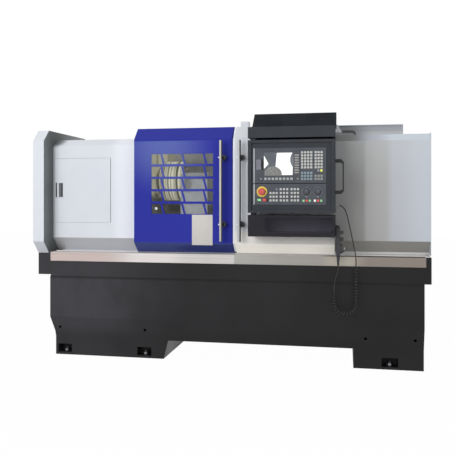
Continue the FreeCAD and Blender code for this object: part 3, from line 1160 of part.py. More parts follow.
# ---- Console ----
def console_hood():
    """Fixed top box: upright fascia, a sloped lid set in at its ends and the upper pivot pin."""
    back = DOOR_FRONT
    fascia_top = HOOD_BOTTOM + HOOD_FASCIA
    box_part = rounded_box(CONSOLE_LEFT, CONSOLE_RIGHT, CONSOLE_FRONT, back, HOOD_BOTTOM, fascia_top,
                           CONSOLE_CORNER, (0, 0, 1))
    lid = [(CONSOLE_FRONT + 1, fascia_top), (CONSOLE_FRONT + HOOD_SLOPE_RUN, HOOD_TOP), (back, HOOD_TOP),
           (back, fascia_top)]
    box_part = box_part.fuse(prism_x(lid, CONSOLE_LEFT + HOOD_INSET, CONSOLE_RIGHT + HOOD_OVERHANG))
    lid_inside = HOOD_TOP - SHEET
    inner_lid = [(CONSOLE_FRONT + 6, fascia_top - 2), (CONSOLE_FRONT + HOOD_SLOPE_RUN + 2, lid_inside),
                 (back - SHEET, lid_inside), (back - SHEET, fascia_top - 2)]
    box_part = box_part.cut(prism_x(inner_lid, CONSOLE_LEFT + HOOD_INSET + SHEET, CONSOLE_RIGHT - SHEET))
    pin = pivot_rod(PIVOT_RADIUS, CASE_TOP - PIVOT_LENGTH, HOOD_BOTTOM + 2)
    washer = pivot_rod(PIVOT_WASHER, CASE_TOP + SEAT, HOOD_BOTTOM + 2)
    return box_part.multiFuse([pin, washer])


def pivot_rod(radius, z0, z1):
    """Round piece on the case's pivot axis."""
    return faceted([(z0, radius), (z1, radius)], 2 * SMALL_SIDES, (PIVOT_X, PIVOT_Y, 0), (0, 0, 1))


def console_lower_box():
    """Fixed lower box with a rounded document pocket, the lower pivot pin and the pendant's hanger."""
    back = DOOR_FRONT
    body = rounded_box(CONSOLE_LEFT, CONSOLE_RIGHT, CONSOLE_FRONT, back, LOWER_BOX_BOTTOM, LOWER_BOX_TOP,
                       CONSOLE_CORNER, (0, 0, 1))
    pocket = rounded_box(SHELF_POCKET_LEFT, SHELF_POCKET_RIGHT, CONSOLE_FRONT - 1,
                         CONSOLE_FRONT + SHELF_POCKET_DEPTH, SHELF_POCKET_BOTTOM, SHELF_POCKET_TOP,
                         SHELF_POCKET_CORNER, (0, 1, 0))
    pin = pivot_rod(PIVOT_RADIUS, LOWER_BOX_TOP - 2, CASE_BOTTOM + PIVOT_LENGTH)
    washer = pivot_rod(PIVOT_WASHER, LOWER_BOX_TOP - 2, CASE_BOTTOM - SEAT)
    hanger = box(CONSOLE_RIGHT - 1, CONSOLE_RIGHT + 3, PENDANT_FRONT + 15, PENDANT_BACK - 15,
                 LOWER_BOX_BOTTOM + 4, PENDANT_TOP + 14)
    hook = box(CONSOLE_RIGHT - 1, PENDANT_RIGHT - 8, PENDANT_FRONT + 30, PENDANT_BACK - 30,
               PENDANT_TOP + SEAT, PENDANT_TOP + 8)
    return body.cut(pocket).multiFuse([pin, washer, hanger, hook])


def console_case():
    """Swinging case: rounded box with a stepped bezel, a cavity behind the panels and pivot sockets."""
    case = rounded_box(CONSOLE_LEFT, CONSOLE_RIGHT, CONSOLE_FRONT, CASE_BACK, CASE_BOTTOM, CASE_TOP,
                       CONSOLE_CORNER, (0, 0, 1))
    case = case.cut(box(BEZEL_LEFT, BEZEL_RIGHT, CONSOLE_FRONT, PANEL_FLOOR, BEZEL_BOTTOM, BEZEL_TOP))
    case = case.cut(box(PANEL_LEFT + 8, PANEL_RIGHT - 8, PANEL_FLOOR - 1, PANEL_FLOOR + PANEL_CAVITY_DEPTH,
                        MACHINE_PANEL_BOTTOM + 8, DISPLAY_TOP - 8))
    socket = PIVOT_RADIUS + RUNNING_FIT
    depth = PIVOT_LENGTH + 2
    for z0, z1 in ((CASE_TOP - depth, CASE_TOP), (CASE_BOTTOM, CASE_BOTTOM + depth)):
        case = case.cut(faceted_hole(socket, 2 * SMALL_SIDES, (PIVOT_X, PIVOT_Y, z0), (0, 0, 1), z1 - z0))
    return case


def key_caps(fields, top):
    """Low keys of every field, for a panel whose upper edge is at a height."""
    keys = []
    for x0, drop, columns, rows, pitch_x, pitch_z, side in fields:
        for c in range(columns):
            for r in range(rows):
                x = PANEL_LEFT + x0 + c * pitch_x
                z = top - drop - r * pitch_z
                keys.append(box(x - side / 2, x + side / 2, PANEL_FACE - KEY_HEIGHT, PANEL_FACE + 1,
                                z - side / 2, z + side / 2))
    return keys


def display_unit():
    """Control unit: plate with keypads, soft keys, a recessed screen seat and the flap's seat."""
    plate = box(PANEL_LEFT, PANEL_RIGHT, PANEL_FACE, PANEL_FLOOR, DISPLAY_BOTTOM, DISPLAY_TOP)
    plate = plate.multiFuse(key_caps(DISPLAY_KEYS, DISPLAY_TOP))
    seat = box(SCREEN_LEFT, SCREEN_RIGHT, PANEL_FACE - 1, PANEL_FACE + GLASS_THICKNESS, SCREEN_BOTTOM,
               SCREEN_TOP)
    port = box(FLAP_LEFT - 1, FLAP_RIGHT + 9, PANEL_FACE - 1, PANEL_FACE + 3, FLAP_BOTTOM - 1, FLAP_TOP + 1)
    hinge = box(FLAP_LEFT - 1, FLAP_LEFT + FLAP_PIN / 2, PANEL_FACE, PANEL_FACE + 3, FLAP_BOTTOM - 1,
                FLAP_TOP + 1)
    return plate.cut(seat).cut(port.cut(hinge))


def display_glass():
    """Screen window flush in its seat."""
    return box(SCREEN_LEFT + SEAT, SCREEN_RIGHT - SEAT, PANEL_FACE, PANEL_FACE + GLASS_THICKNESS,
               SCREEN_BOTTOM + SEAT, SCREEN_TOP - SEAT)


def machine_panel():
    """Machine control panel: key groups, lamp keys, the collar of the emergency stop and stem holes."""
    plate = box(PANEL_LEFT, PANEL_RIGHT, PANEL_FACE, PANEL_FLOOR, MACHINE_PANEL_BOTTOM, MACHINE_PANEL_TOP)
    keys = key_caps(MACHINE_KEYS, MACHINE_PANEL_TOP)
    collar = faceted([(-1, ESTOP_COLLAR), (5, ESTOP_COLLAR)], KNOB_SIDES, (ESTOP_X, PANEL_FACE, KNOB_Z),
                     (0, -1, 0))
    plate = plate.multiFuse(keys + [collar])
    for x, radius in ((ESTOP_X, ESTOP_STEM), (FEED_KNOB_X, KNOB_STEM), (SPINDLE_KNOB_X, KNOB_STEM)):
        start = (x, PANEL_FACE - 6, KNOB_Z)
        plate = plate.cut(faceted_hole(radius + SEAT, SMALL_SIDES, start, (0, 1, 0), 12))
    for x in (START_X, STOP_X):
        w, h = BUTTON_WIDTH / 2 + SEAT, BUTTON_TALL / 2 + SEAT
        plate = plate.cut(box(x - w, x + w, PANEL_FACE - 1, PANEL_FLOOR + 1, BUTTON_Z - h, BUTTON_Z + h))
    return plate


def estop_button():
    """Mushroom cap with a domed face on its stem."""
    depth = PANEL_FACE - 9 - ESTOP_FRONT
    profile = [(0, ESTOP_CAP - 9), (2.5, ESTOP_CAP - 3), (6, ESTOP_CAP), (depth - 2, ESTOP_CAP),
               (depth, ESTOP_CAP - 3), (depth, ESTOP_STEM), (depth + 25, ESTOP_STEM)]
    return faceted(profile, KNOB_SIDES, (ESTOP_X, ESTOP_FRONT, KNOB_Z), (0, 1, 0))


def control_knob(x):
    """Override knob: skirt, gripping crown and spindle."""
    y0 = PANEL_FACE - SEAT - KNOB_HEIGHT
    profile = [(0, KNOB_RADIUS - 6), (2, KNOB_RADIUS - 4), (KNOB_HEIGHT - 6, KNOB_RADIUS - 3),
               (KNOB_HEIGHT - 5, KNOB_RADIUS), (KNOB_HEIGHT, KNOB_RADIUS), (KNOB_HEIGHT, KNOB_STEM),
               (KNOB_HEIGHT + 12, KNOB_STEM)]
    knob = faceted(profile, KNOB_SIDES, (x, y0, KNOB_Z), (0, 1, 0))
    return knob.cut(box(x - 1.2, x + 1.2, y0, y0 + 2, KNOB_Z + 3, KNOB_Z + KNOB_RADIUS))


def push_button(x):
    """Flat push button standing in its rectangular hole."""
    w, h = BUTTON_WIDTH / 2, BUTTON_TALL / 2
    return box(x - w, x + w, PANEL_FACE - 4, PANEL_FLOOR + 4, BUTTON_Z - h, BUTTON_Z + h)


def usb_flap():
    """Small port cover hinged at its left edge."""
    y0 = PANEL_FACE - 0.6
    plate = box(FLAP_LEFT + 1.5, FLAP_RIGHT, y0, y0 + FLAP_THICKNESS, FLAP_BOTTOM, FLAP_TOP)
    barrel = faceted([(FLAP_BOTTOM, FLAP_PIN), (FLAP_TOP, FLAP_PIN)], SMALL_SIDES,
                     (FLAP_LEFT + 2.4, y0 + FLAP_THICKNESS / 2, 0), (0, 0, 1))
    return plate.fuse(barrel)


def console_grab_handle():
    """Grab handle on the case's right side: two thick arms with slanted corners and a thin upright."""
    x0, x1 = CONSOLE_RIGHT, CONSOLE_RIGHT + GRAB_REACH
    low, high, arm = GRAB_BOTTOM, GRAB_TOP, GRAB_ARM
    cut = 0.8 * arm
    outer = [(x0, low), (x1 - cut, low), (x1, low + cut), (x1, high - cut), (x1 - cut, high), (x0, high)]
    inside, corner = x1 - GRAB_UPRIGHT, arm + 7
    inner = [(x0, low + arm), (x1 - arm, low + arm), (inside, low + corner), (inside, high - corner),
             (x1 - arm, high - arm), (x0, high - arm)]
    bar = prism_y(outer, GRAB_Y - GRAB_DEPTH / 2, GRAB_Y + GRAB_DEPTH / 2)
    return bar.cut(prism_y(inner, GRAB_Y - GRAB_DEPTH, GRAB_Y + GRAB_DEPTH))


def cable_gland():
    """Gland on the right door's side wall: hexagon, dome and the cord's bore."""
    x = RIGHT_DOOR_RIGHT
    nut = faceted([(0, GLAND_RADIUS + 3), (8, GLAND_RADIUS + 3)], 6, (x, GLAND_Y, GLAND_Z), (1, 0, 0))
    profile = [(7, GLAND_RADIUS), (GLAND_LENGTH - 8, GLAND_RADIUS - 1), (GLAND_LENGTH, CORD_RADIUS + 2)]
    dome = faceted(profile, KNOB_SIDES, (x, GLAND_Y, GLAND_Z), (1, 0, 0))
    return nut.fuse(dome)


# ---- Pendant and cord ----
def pendant_case():
    """Hand pendant with a moulded boot for its cord."""
    case = rounded_box(PENDANT_LEFT, PENDANT_RIGHT, PENDANT_FRONT, PENDANT_BACK, PENDANT_BOTTOM,
                       PENDANT_TOP, 8, (1, 0, 0))
    x, y = pendant_middle()
    profile = [(0, BOOT_RADIUS), (BOOT_LENGTH / 2, BOOT_RADIUS - 2), (BOOT_LENGTH, CORD_RADIUS + 2)]
    boot = faceted(profile, 2 * SMALL_SIDES, (x, y, PENDANT_BOTTOM + 1), (0, 0, -1))
    case = case.fuse(boot)
    for z in (DIAL_Z, AXIS_KNOB_Z, STEP_KNOB_Z):
        case = case.cut(faceted_hole(4 + SEAT, SMALL_SIDES, (PENDANT_RIGHT - 10, y, z), (1, 0, 0), 11))
    return case


def pendant_middle():
    """Middle of the pendant in plan."""
    return (PENDANT_LEFT + PENDANT_RIGHT) / 2, (PENDANT_FRONT + PENDANT_BACK) / 2


def pendant_dial():
    """Pulse dial with a turned rim and a finger knob."""
    y = pendant_middle()[1]
    x0 = PENDANT_RIGHT + SEAT
    profile = [(-9, 4), (0, 4), (0, DIAL_RADIUS), (4, DIAL_RADIUS - 2), (DIAL_HEIGHT, DIAL_RADIUS - 5)]
    dial = faceted(profile, 2 * KNOB_SIDES, (x0, y, DIAL_Z), (1, 0, 0))
    finger = faceted([(-1, 5), (9, 4)], SMALL_SIDES, (x0 + DIAL_HEIGHT, y, DIAL_Z - 16), (1, 0, 0))
    return dial.fuse(finger)


def pendant_selector(z):
    """Selector knob with a raised grip bar."""
    y = pendant_middle()[1]
    x0 = PENDANT_RIGHT + SEAT
    profile = [(-9, 4), (0, 4), (0, SELECTOR_RADIUS), (SELECTOR_HEIGHT - 8, SELECTOR_RADIUS - 1)]
    body = faceted(profile, KNOB_SIDES, (x0, y, z), (1, 0, 0))
    grip = box(x0 + SELECTOR_HEIGHT - 9, x0 + SELECTOR_HEIGHT, y - 3.5, y + 3.5, z - SELECTOR_RADIUS + 1,
               z + SELECTOR_RADIUS - 1)
    return body.fuse(grip)


def tangent_path(points):
    """Straight runs joined by tangent arcs, each as large as its two runs allow."""
    corners = [Vec(*p) for p in points]
    edges, radii = [], []
    position = corners[0]
    for i in range(1, len(corners) - 1):
        before = (corners[i - 1] - corners[i])
        after = (corners[i + 1] - corners[i])
        shorter = min(before.Length, after.Length)
        before.normalize()
        after.normalize()
        turn = math.pi - before.getAngle(after)
        setback = 0.45 * shorter
        radius = setback / math.tan(turn / 2)
        start = corners[i] + before * setback
        end = corners[i] + after * setback
        middle = (before + after).normalize()
        middle = corners[i] + middle * (math.hypot(radius, setback) - radius)
        edges.append(Part.LineSegment(position, start).toShape())
        edges.append(Part.Arc(start, middle, end).toShape())
        radii.append(radius)
        position = end
    edges.append(Part.LineSegment(position, corners[-1]).toShape())
    return Part.Wire(edges), radii


def cord_tube(name, points):
    """Round cord along its route; prints its radii and checks its volume."""
    path, radii = tangent_path(points)
    direction = Vec(*points[1]) - Vec(*points[0])
    section = closed(ring(SMALL_SIDES, CORD_RADIUS, points[0], tuple(direction), 0))
    tube = path.makePipeShell([section], True, False)
    expected = Part.Face(section).Area * path.Length
    print(name, "radii", [round(r) for r in radii], "length", round(path.Length),
          "volume over section times length", round(tube.Volume / expected, 4))
    return tube


def cord_upper_route():
    """From the gland, forward past the covers and down to the coil's start."""
    end = coil_line(0.0)[0]
    return [(RIGHT_DOOR_RIGHT + GLAND_LENGTH, GLAND_Y, GLAND_Z), (742.0, -359.0, 977.0),
            (761.0, -373.0, 939.0), (772.0, -389.0, 892.0), (783.0, -405.0, 841.0),
            (795.0, -421.0, 784.0), (807.0, -433.0, 727.0),
            (end[0], end[1], 676.0), end]


def coil_line(s):
    """Point and in-plane normal of the coil's middle line, s mm from its upper right end."""
    right_leg = COIL_RIGHT_TOP - COIL_BEND_Z
    bend = math.pi * COIL_BEND_RADIUS
    if s < right_leg:
        return (COIL_X + COIL_BEND_RADIUS, COIL_Y, COIL_RIGHT_TOP - s), (1.0, 0.0)
    if s < right_leg + bend:
        angle = (s - right_leg) / COIL_BEND_RADIUS
        normal = (math.cos(angle), -math.sin(angle))
        return (COIL_X + COIL_BEND_RADIUS * normal[0], COIL_Y,
                COIL_BEND_Z + COIL_BEND_RADIUS * normal[1]), normal
    rise = s - right_leg - bend
    return (COIL_X - COIL_BEND_RADIUS, COIL_Y, COIL_BEND_Z + rise), (-1.0, 0.0)


def coil_length():
    """Length of the coil's middle line."""
    return (COIL_RIGHT_TOP - COIL_BEND_Z) + math.pi * COIL_BEND_RADIUS + (COIL_LEFT_TOP - COIL_BEND_Z)


def helix_point(s):
    """Point of the curly cord; it leaves and rejoins the coil's middle line at the ends."""
    length = coil_length()
    lead = 2 * CORD_RADIUS
    wound = length - 2 * lead
    pitch = wound / COIL_CURLS
    t = min(max((s - lead) / pitch, 0.0), 1.0)
    u = min(max((length - lead - s) / pitch, 0.0), 1.0)
    grow = min(t * t * (3 - 2 * t), u * u * (3 - 2 * u))
    angle = 2 * math.pi * (s - lead) / pitch
    (x, y, z), (nx, nz) = coil_line(s)
    out = COIL_RADIUS * grow * math.cos(angle)
    side = COIL_RADIUS * grow * math.sin(angle)
    return Vec(x + out * nx, y + side, z + out * nz)


def mitred_tube(points, sides, radius):
    """Many-sided tube along straight steps, mitred where two steps meet, so that every face is flat."""
    steps = [(b - a).normalize() for a, b in zip(points, points[1:])]
    rings = [ring(sides, radius, tuple(points[0]), tuple(steps[0]), 0)]
    for i, step in enumerate(steps):
        normal = step if i == len(steps) - 1 else (step + steps[i + 1]).normalize()
        joint = points[i + 1]
        rings.append([p + step * ((joint - p).dot(normal) / step.dot(normal)) for p in rings[-1]])
    faces = [Part.Face(closed(rings[0])), Part.Face(closed(rings[-1]))]
    for low, high in zip(rings, rings[1:]):
        for i in range(sides):
            j = (i + 1) % sides
            faces.append(Part.Face(closed([low[i], low[j], high[j], high[i]])))
    tube = Part.makeSolid(Part.makeShell(faces))
    if tube.Volume < 0:
        tube.reverse()
    return tube


def cord_curly():
    """Curly cord: one unbroken helix round the hanging loop."""
    length = coil_length()
    lead = 2 * CORD_RADIUS
    steps = COIL_STEPS * COIL_CURLS
    stations = [0.0] + [lead + (length - 2 * lead) * i / steps for i in range(steps + 1)] + [length]
    points = [helix_point(s) for s in stations]
    tube = mitred_tube(points, COIL_SIDES, CORD_RADIUS)
    run = sum(a.distanceToPoint(b) for a, b in zip(points, points[1:]))
    print("cord_curly length", round(run), "least gap to itself", round(coil_self_gap(length), 2))
    return tube


def coil_self_gap(length):
    """Least clear distance between neighbouring curls, measured on points of the helix."""
    pitch = length / COIL_CURLS
    samples = [helix_point(length * i / 1500) for i in range(1501)]
    skip = int(0.5 * pitch / length * 1500)
    least = min(samples[i].distanceToPoint(samples[j])
                for i in range(len(samples)) for j in range(i + skip, min(i + 4 * skip, len(samples))))
    return least - 2 * CORD_RADIUS


def cord_lower_route():
    """From the coil's left end up into the pendant's boot."""
    x, y = pendant_middle()
    end = coil_line(coil_length())[0]
    return [end, (end[0], end[1], 512.0), (697.0, -449.0, 558.0), (x, y, 594.0),
            (x, y, PENDANT_BOTTOM + 1 - BOOT_LENGTH)]


# ---- Cabinet and carrier ----
def electrical_cabinet():
    """Box on the base's rear shelf, open under its door, with drive modules on its wall."""
    x0, x1, y0, y1 = CABINET_LEFT, CABINET_RIGHT, TRAY_BACK + SEAT, CABINET_BACK - CABINET_WALL - SEAT
    w = CABINET_WALL
    shell = box(x0, x1, y0, y1, BASE_TOP, CABINET_TOP)
    shell = shell.cut(box(x0 + w, x1 - w, y0 + w, y1 - w, BASE_TOP + w, CABINET_TOP - w))
    lip = CABINET_LIP
    shell = shell.cut(box(x0 + lip, x1 - lip, y1 - w - 1, y1 + 1, BASE_TOP + lip, CABINET_TOP - lip))
    left, right, back = x0 + CABINET_MARGIN, x1 - CABINET_MARGIN, y0 + w - 1
    span = (right - left) / DRIVE_MODULES
    modules = [box(left, right - MODULE_GAP, back, y0 + SUPPLY_DEPTH, SUPPLY_BOTTOM, SUPPLY_TOP)]
    for i in range(DRIVE_MODULES):
        x = left + i * span
        modules.append(box(x, x + span - MODULE_GAP, back, y0 + MODULE_DEPTH, MODULE_BOTTOM, MODULE_TOP))
    return shell.multiFuse(modules)


def cabinet_door():
    """Plain door on the cabinet's back with a folded edge."""
    y1 = CABINET_BACK
    y0 = y1 - CABINET_WALL
    return rounded_box(CABINET_LEFT, CABINET_RIGHT, y0, y1, BASE_TOP + SEAT, CABINET_TOP, 3, (0, 1, 0))


def cable_carrier():
    """Cable carrier of jointed links lying on the right cover's roof, doubled back on itself."""
    y0, y1 = CARRIER_Y, CARRIER_Y + CARRIER_WIDTH
    x, r, t = CARRIER_END_X, CARRIER_BEND, CARRIER_LINK
    z = COVER_TOP
    outer = box(x - CARRIER_LENGTH, x, y0, y1, z, z + 2 * r)
    inner = box(x - CARRIER_LENGTH, x, y0, y1, z + t, z + 2 * r - t)
    end = rod(r, (x, y0, z + r), (x, y1, z + r)).cut(rod(r - t, (x, y0, z + r), (x, y1, z + r)))
    end = end.cut(box(x - r, x, y0, y1, z, z + 2 * r))
    carrier = outer.cut(inner).fuse(end)
    links = 6
    for i in range(links):
        gap = x - CARRIER_LENGTH + (i + 0.5) * CARRIER_LENGTH / links
        carrier = carrier.cut(box(gap, gap + 2, y0, y1, z + 2 * r - 2, z + 2 * r))
    return carrier


def main():
    """Build and write every piece."""
    pieces = {
        "base_casting": base_casting, "leveling_bolts": leveling_bolts, "chip_tray": chip_tray,
        "door_rail_strip": door_rail_strip, "bed_casting": bed_casting,
        "headstock_casting": headstock_casting, "spindle": spindle, "chuck_body": chuck_body,
        "drive_belt": drive_belt, "spindle_motor": spindle_motor, "motor_pulley": motor_pulley,
        "carriage": carriage, "carriage_splash_plate": carriage_splash_plate,
        "cross_slide": cross_slide, "turret_head": turret_head, "z_ballscrew": z_ballscrew,
        "z_servo_motor": z_servo_motor, "tailstock_body": tailstock_body,
        "tailstock_quill": tailstock_quill, "headstock_cover": headstock_cover,
        "hatch_door": hatch_door, "hatch_latch": hatch_latch, "right_end_cover": right_end_cover,
        "rear_splash_guard": rear_splash_guard, "end_guard": end_guard, "roof_rail": roof_rail,
        "left_door_shell": left_door_shell, "left_window_pane": left_window_pane,
        "right_door_shell": right_door_shell, "console_hood": console_hood,
        "console_lower_box": console_lower_box, "console_case": console_case,
        "display_unit": display_unit, "display_glass": display_glass, "machine_panel": machine_panel,
        "estop_button": estop_button, "usb_flap": usb_flap, "console_grab_handle": console_grab_handle,
        "cable_gland": cable_gland, "pendant_case": pendant_case, "pendant_dial": pendant_dial,
        "electrical_cabinet": electrical_cabinet, "cabinet_door": cabinet_door,
        "cable_carrier": cable_carrier,
    }
    for name, build in pieces.items():
        save(name, build())
    for index in range(3):
        save("chuck_jaw_" + str(index + 1), chuck_jaw(index))
    save("left_handle_tube", handle_tube(LEFT_HANDLE_X))
    save("left_handle_brackets", handle_brackets(LEFT_HANDLE_X))
    save("right_handle_tube", handle_tube(RIGHT_HANDLE_X))
    save("right_handle_brackets", handle_brackets(RIGHT_HANDLE_X))
    save("feed_knob", control_knob(FEED_KNOB_X))
    save("spindle_knob", control_knob(SPINDLE_KNOB_X))
    save("start_button", push_button(START_X))
    save("stop_button", push_button(STOP_X))
    save("pendant_axis_knob", pendant_selector(AXIS_KNOB_Z))
    save("pendant_step_knob", pendant_selector(STEP_KNOB_Z))
    save("cord_upper", cord_tube("cord_upper", cord_upper_route()))
    save("cord_curly", cord_curly())
    save("cord_lower", cord_tube("cord_lower", cord_lower_route()))


main()
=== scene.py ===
"""The looks of a flat-bed turning lathe: finishes, rounded folds, controls, cord, studio and camera."""
import json
import logging
import math
from dataclasses import dataclass, field
from enum import Enum
from typing import Any, Callable, Iterable, Sequence

import bmesh
import bpy
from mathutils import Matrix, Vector

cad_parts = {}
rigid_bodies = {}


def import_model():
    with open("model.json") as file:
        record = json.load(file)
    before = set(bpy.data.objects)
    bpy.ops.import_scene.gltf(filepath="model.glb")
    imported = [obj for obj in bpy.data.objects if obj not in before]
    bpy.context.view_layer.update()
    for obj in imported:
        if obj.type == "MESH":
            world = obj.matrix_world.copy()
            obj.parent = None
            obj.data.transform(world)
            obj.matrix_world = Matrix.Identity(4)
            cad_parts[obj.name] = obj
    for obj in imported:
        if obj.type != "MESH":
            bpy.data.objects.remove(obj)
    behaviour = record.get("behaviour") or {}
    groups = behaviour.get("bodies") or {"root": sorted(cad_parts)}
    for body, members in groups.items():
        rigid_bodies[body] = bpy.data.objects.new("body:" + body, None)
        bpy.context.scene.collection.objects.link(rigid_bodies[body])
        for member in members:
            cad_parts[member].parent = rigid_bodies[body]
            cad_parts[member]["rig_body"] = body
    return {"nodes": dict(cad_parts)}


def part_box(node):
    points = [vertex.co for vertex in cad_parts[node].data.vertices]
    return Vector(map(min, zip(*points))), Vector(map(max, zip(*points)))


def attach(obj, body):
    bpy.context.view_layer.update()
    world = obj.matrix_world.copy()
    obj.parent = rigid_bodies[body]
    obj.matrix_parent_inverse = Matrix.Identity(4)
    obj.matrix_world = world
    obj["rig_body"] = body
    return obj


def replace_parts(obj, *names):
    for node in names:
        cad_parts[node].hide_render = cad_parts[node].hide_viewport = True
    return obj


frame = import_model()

Point = tuple[float, float, float]
Colour = tuple[float, float, float, float]
Shown = tuple[int, int, int]
Profile = tuple[tuple[float, float], ...]
Test = Callable[[Vector], bool]
LOG = logging.getLogger("lathe")
MM = 0.001
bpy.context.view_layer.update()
COAT_ROUGHNESS = 0.12
RUBBED: Colour = (0.45, 0.45, 0.46, 1.0)
DUST: Colour = (0.6, 0.6, 0.6, 1.0)
SCRATCH: Colour = (0.2, 0.2, 0.2, 1.0)


# ---------------------------------------------------------------- colour and shader maths
def paint(shown: Shown) -> Colour:
    """Turn a display colour into the shader's linear colour.

    Args:
        shown: Red, green and blue from 0 to 255, as seen on a screen.

    Returns:
        Linear colour with full alpha.
    """
    def linear(level: int) -> float:
        """Undo the screen's curve for one channel."""
        share = level / 255.0
        return share / 12.92 if share <= 0.04045 else ((share + 0.055) / 1.055) ** 2.4
    return (*(linear(level) for level in shown), 1.0)


class Signal:
    """A node's output that takes part in Python arithmetic."""

    def __init__(self, net: "Net", node: bpy.types.Node, output: int | str = 0) -> None:
        """Wrap one output of a node, by name or number.

        Args:
            net: The tree that the node belongs to.
            node: The node.
            output: Name or number of its output.
        """
        self.net = net
        self.node = node
        self.output = output

    @property
    def socket(self) -> bpy.types.NodeSocket:
        """The output's socket."""
        return self.node.outputs[self.output]

    def sibling(self, output: int | str) -> "Signal":
        """Another output of the same node."""
        return Signal(self.net, self.node, output)

    def _math(self, operation: str, first: Any, second: Any) -> "Signal":
        """Join two values with one Math node."""
        return self.net.node("ShaderNodeMath", {"operation": operation}, {0: first, 1: second})

    def __add__(self, other: Any) -> "Signal":
        """Sum with a value or another signal."""
        return self._math("ADD", self, other)

    __radd__ = __add__

    def __sub__(self, other: Any) -> "Signal":
        """Difference, this first."""
        return self._math("SUBTRACT", self, other)

    def __rsub__(self, other: Any) -> "Signal":
        """Difference, this last."""
        return self._math("SUBTRACT", other, self)

    def __mul__(self, other: Any) -> "Signal":
        """Product with a value or another signal."""
        return self._math("MULTIPLY", self, other)

    __rmul__ = __mul__

    def __truediv__(self, other: Any) -> "Signal":
        """Quotient, this on top."""
        return self._math("DIVIDE", self, other)

    def at_most(self, other: Any) -> "Signal":
        """The lesser of this and another value."""
        return self._math("MINIMUM", self, other)

    def at_least(self, other: Any) -> "Signal":
        """The greater of this and another value."""
        return self._math("MAXIMUM", self, other)

    def size(self) -> "Signal":
        """This without its sign."""
        return self._math("ABSOLUTE", self, 0.0)

    def rise(self, low: float, high: float, start: float = 0.0, end: float = 1.0) -> "Signal":
        """Ease from one level to another while this goes from low to high.

        Args:
            low: Where the change starts.
            high: Where the change ends.
            start: Level before the change.
            end: Level after the change.

        Returns:
            The eased signal.
        """
        settings = {"interpolation_type": "SMOOTHSTEP"}
        inputs = {"Value": self, "From Min": low, "From Max": high, "To Min": start, "To Max": end}
        return self.net.node("ShaderNodeMapRange", settings, inputs)


class Net:
    """The node tree of a material or a world, with one method for every kind of node."""

    def __init__(self, owner: bpy.types.Material | bpy.types.World) -> None:
        """Start the owner's tree afresh.

        Args:
            owner: The material or world.
        """
        owner.use_nodes = True
        self.owner = owner
        self.tree = owner.node_tree
        self.tree.nodes.clear()

    def node(self, kind: str, settings: dict[str, Any] | None = None,
             inputs: dict[int | str, Any] | None = None, output: int | str = 0) -> Signal:
        """Add a node, set it up and feed it.

        Args:
            kind: The node's type.
            settings: Its properties.
            inputs: Values or signals by socket name or number.
            output: Name or number of the output to return.

        Returns:
            The chosen output.
        """
        made = self.tree.nodes.new(kind)
        for key, value in (settings or {}).items():
            setattr(made, key, value)
        for key, value in (inputs or {}).items():
            if isinstance(value, Signal):
                self.tree.links.new(value.socket, made.inputs[key])
            else:
                made.inputs[key].default_value = value
        return Signal(self, made, output)

    def place(self, centre: Point = (0.0, 0.0, 0.0), scale: Point = (1.0, 1.0, 1.0)) -> Signal:
        """Object coordinates measured from a centre and stretched.

        Args:
            centre: Point that becomes zero, in metres.
            scale: Factor along each axis.

        Returns:
            The vector signal.
        """
        raw = self.node("ShaderNodeTexCoord", output="Object")
        moved = self.node("ShaderNodeVectorMath", {"operation": "SUBTRACT"}, {0: raw, 1: centre})
        return self.node("ShaderNodeVectorMath", {"operation": "MULTIPLY"}, {0: moved, 1: scale})

    def axes(self, vector: Signal) -> tuple[Signal, Signal, Signal]:
        """Split a vector into its three numbers."""
        split = self.node("ShaderNodeSeparateXYZ", None, {0: vector})
        return split, split.sibling(1), split.sibling(2)

    def noise(self, vector: Signal, scale: float, detail: float = 3.0, roughness: float = 0.5) -> Signal:
        """Noise from 0 to 1 over a vector."""
        inputs = {"Vector": vector, "Scale": scale, "Detail": detail, "Roughness": roughness}
        return self.node("ShaderNodeTexNoise", None, inputs, "Fac")

    def blend(self, share: Any, first: Any, second: Any) -> Signal:
        """Mix two colours by a share; each is a signal, a linear colour or a display colour."""
        colours = [paint(c) if isinstance(c, tuple) and len(c) == 3 else c for c in (first, second)]
        return self.node("ShaderNodeMix", {"data_type": "RGBA"}, {0: share, 6: colours[0], 7: colours[1]}, 2)

    def bump(self, height: Signal, strength: float, distance: float) -> Signal:
        """Normal raised by a height."""
        inputs = {"Height": height, "Strength": strength, "Distance": distance}
        return self.node("ShaderNodeBump", None, inputs)

    def finish(self, inputs: dict[str, Any]) -> bpy.types.Material:
        """Close the material with one surface shader.

        Args:
            inputs: Values and signals of the shader's sockets.

        Returns:
            The finished material.
        """
        surface = self.node("ShaderNodeBsdfPrincipled", None, inputs)
        self.node("ShaderNodeOutputMaterial", None, {"Surface": surface})
        return self.owner


# ---------------------------------------------------------------- finishes
@dataclass(frozen=True)
class Fade:
    """A soft change of a finish's colour along one axis of the machine, used to paint shade, highlights and
    reflections.
    """
    axis: int
    start: float
    end: float
    colour: Shown
    share: float = 1.0

    def apply(self, net: Net, colour: Signal) -> Signal:
        """Blend the colour towards this fade's own along its axis.

        Args:
            net: Tree of the finish's material.
            colour: The colour so far.

        Returns:
            The blended colour.
        """
        along = net.axes(net.place())[self.axis]
        before, after = (0.0, self.share) if self.end > self.start else (self.share, 0.0)
        part = along.rise(min(self.start, self.end), max(self.start, self.end), before, after)
        return net.blend(part, colour, self.colour)


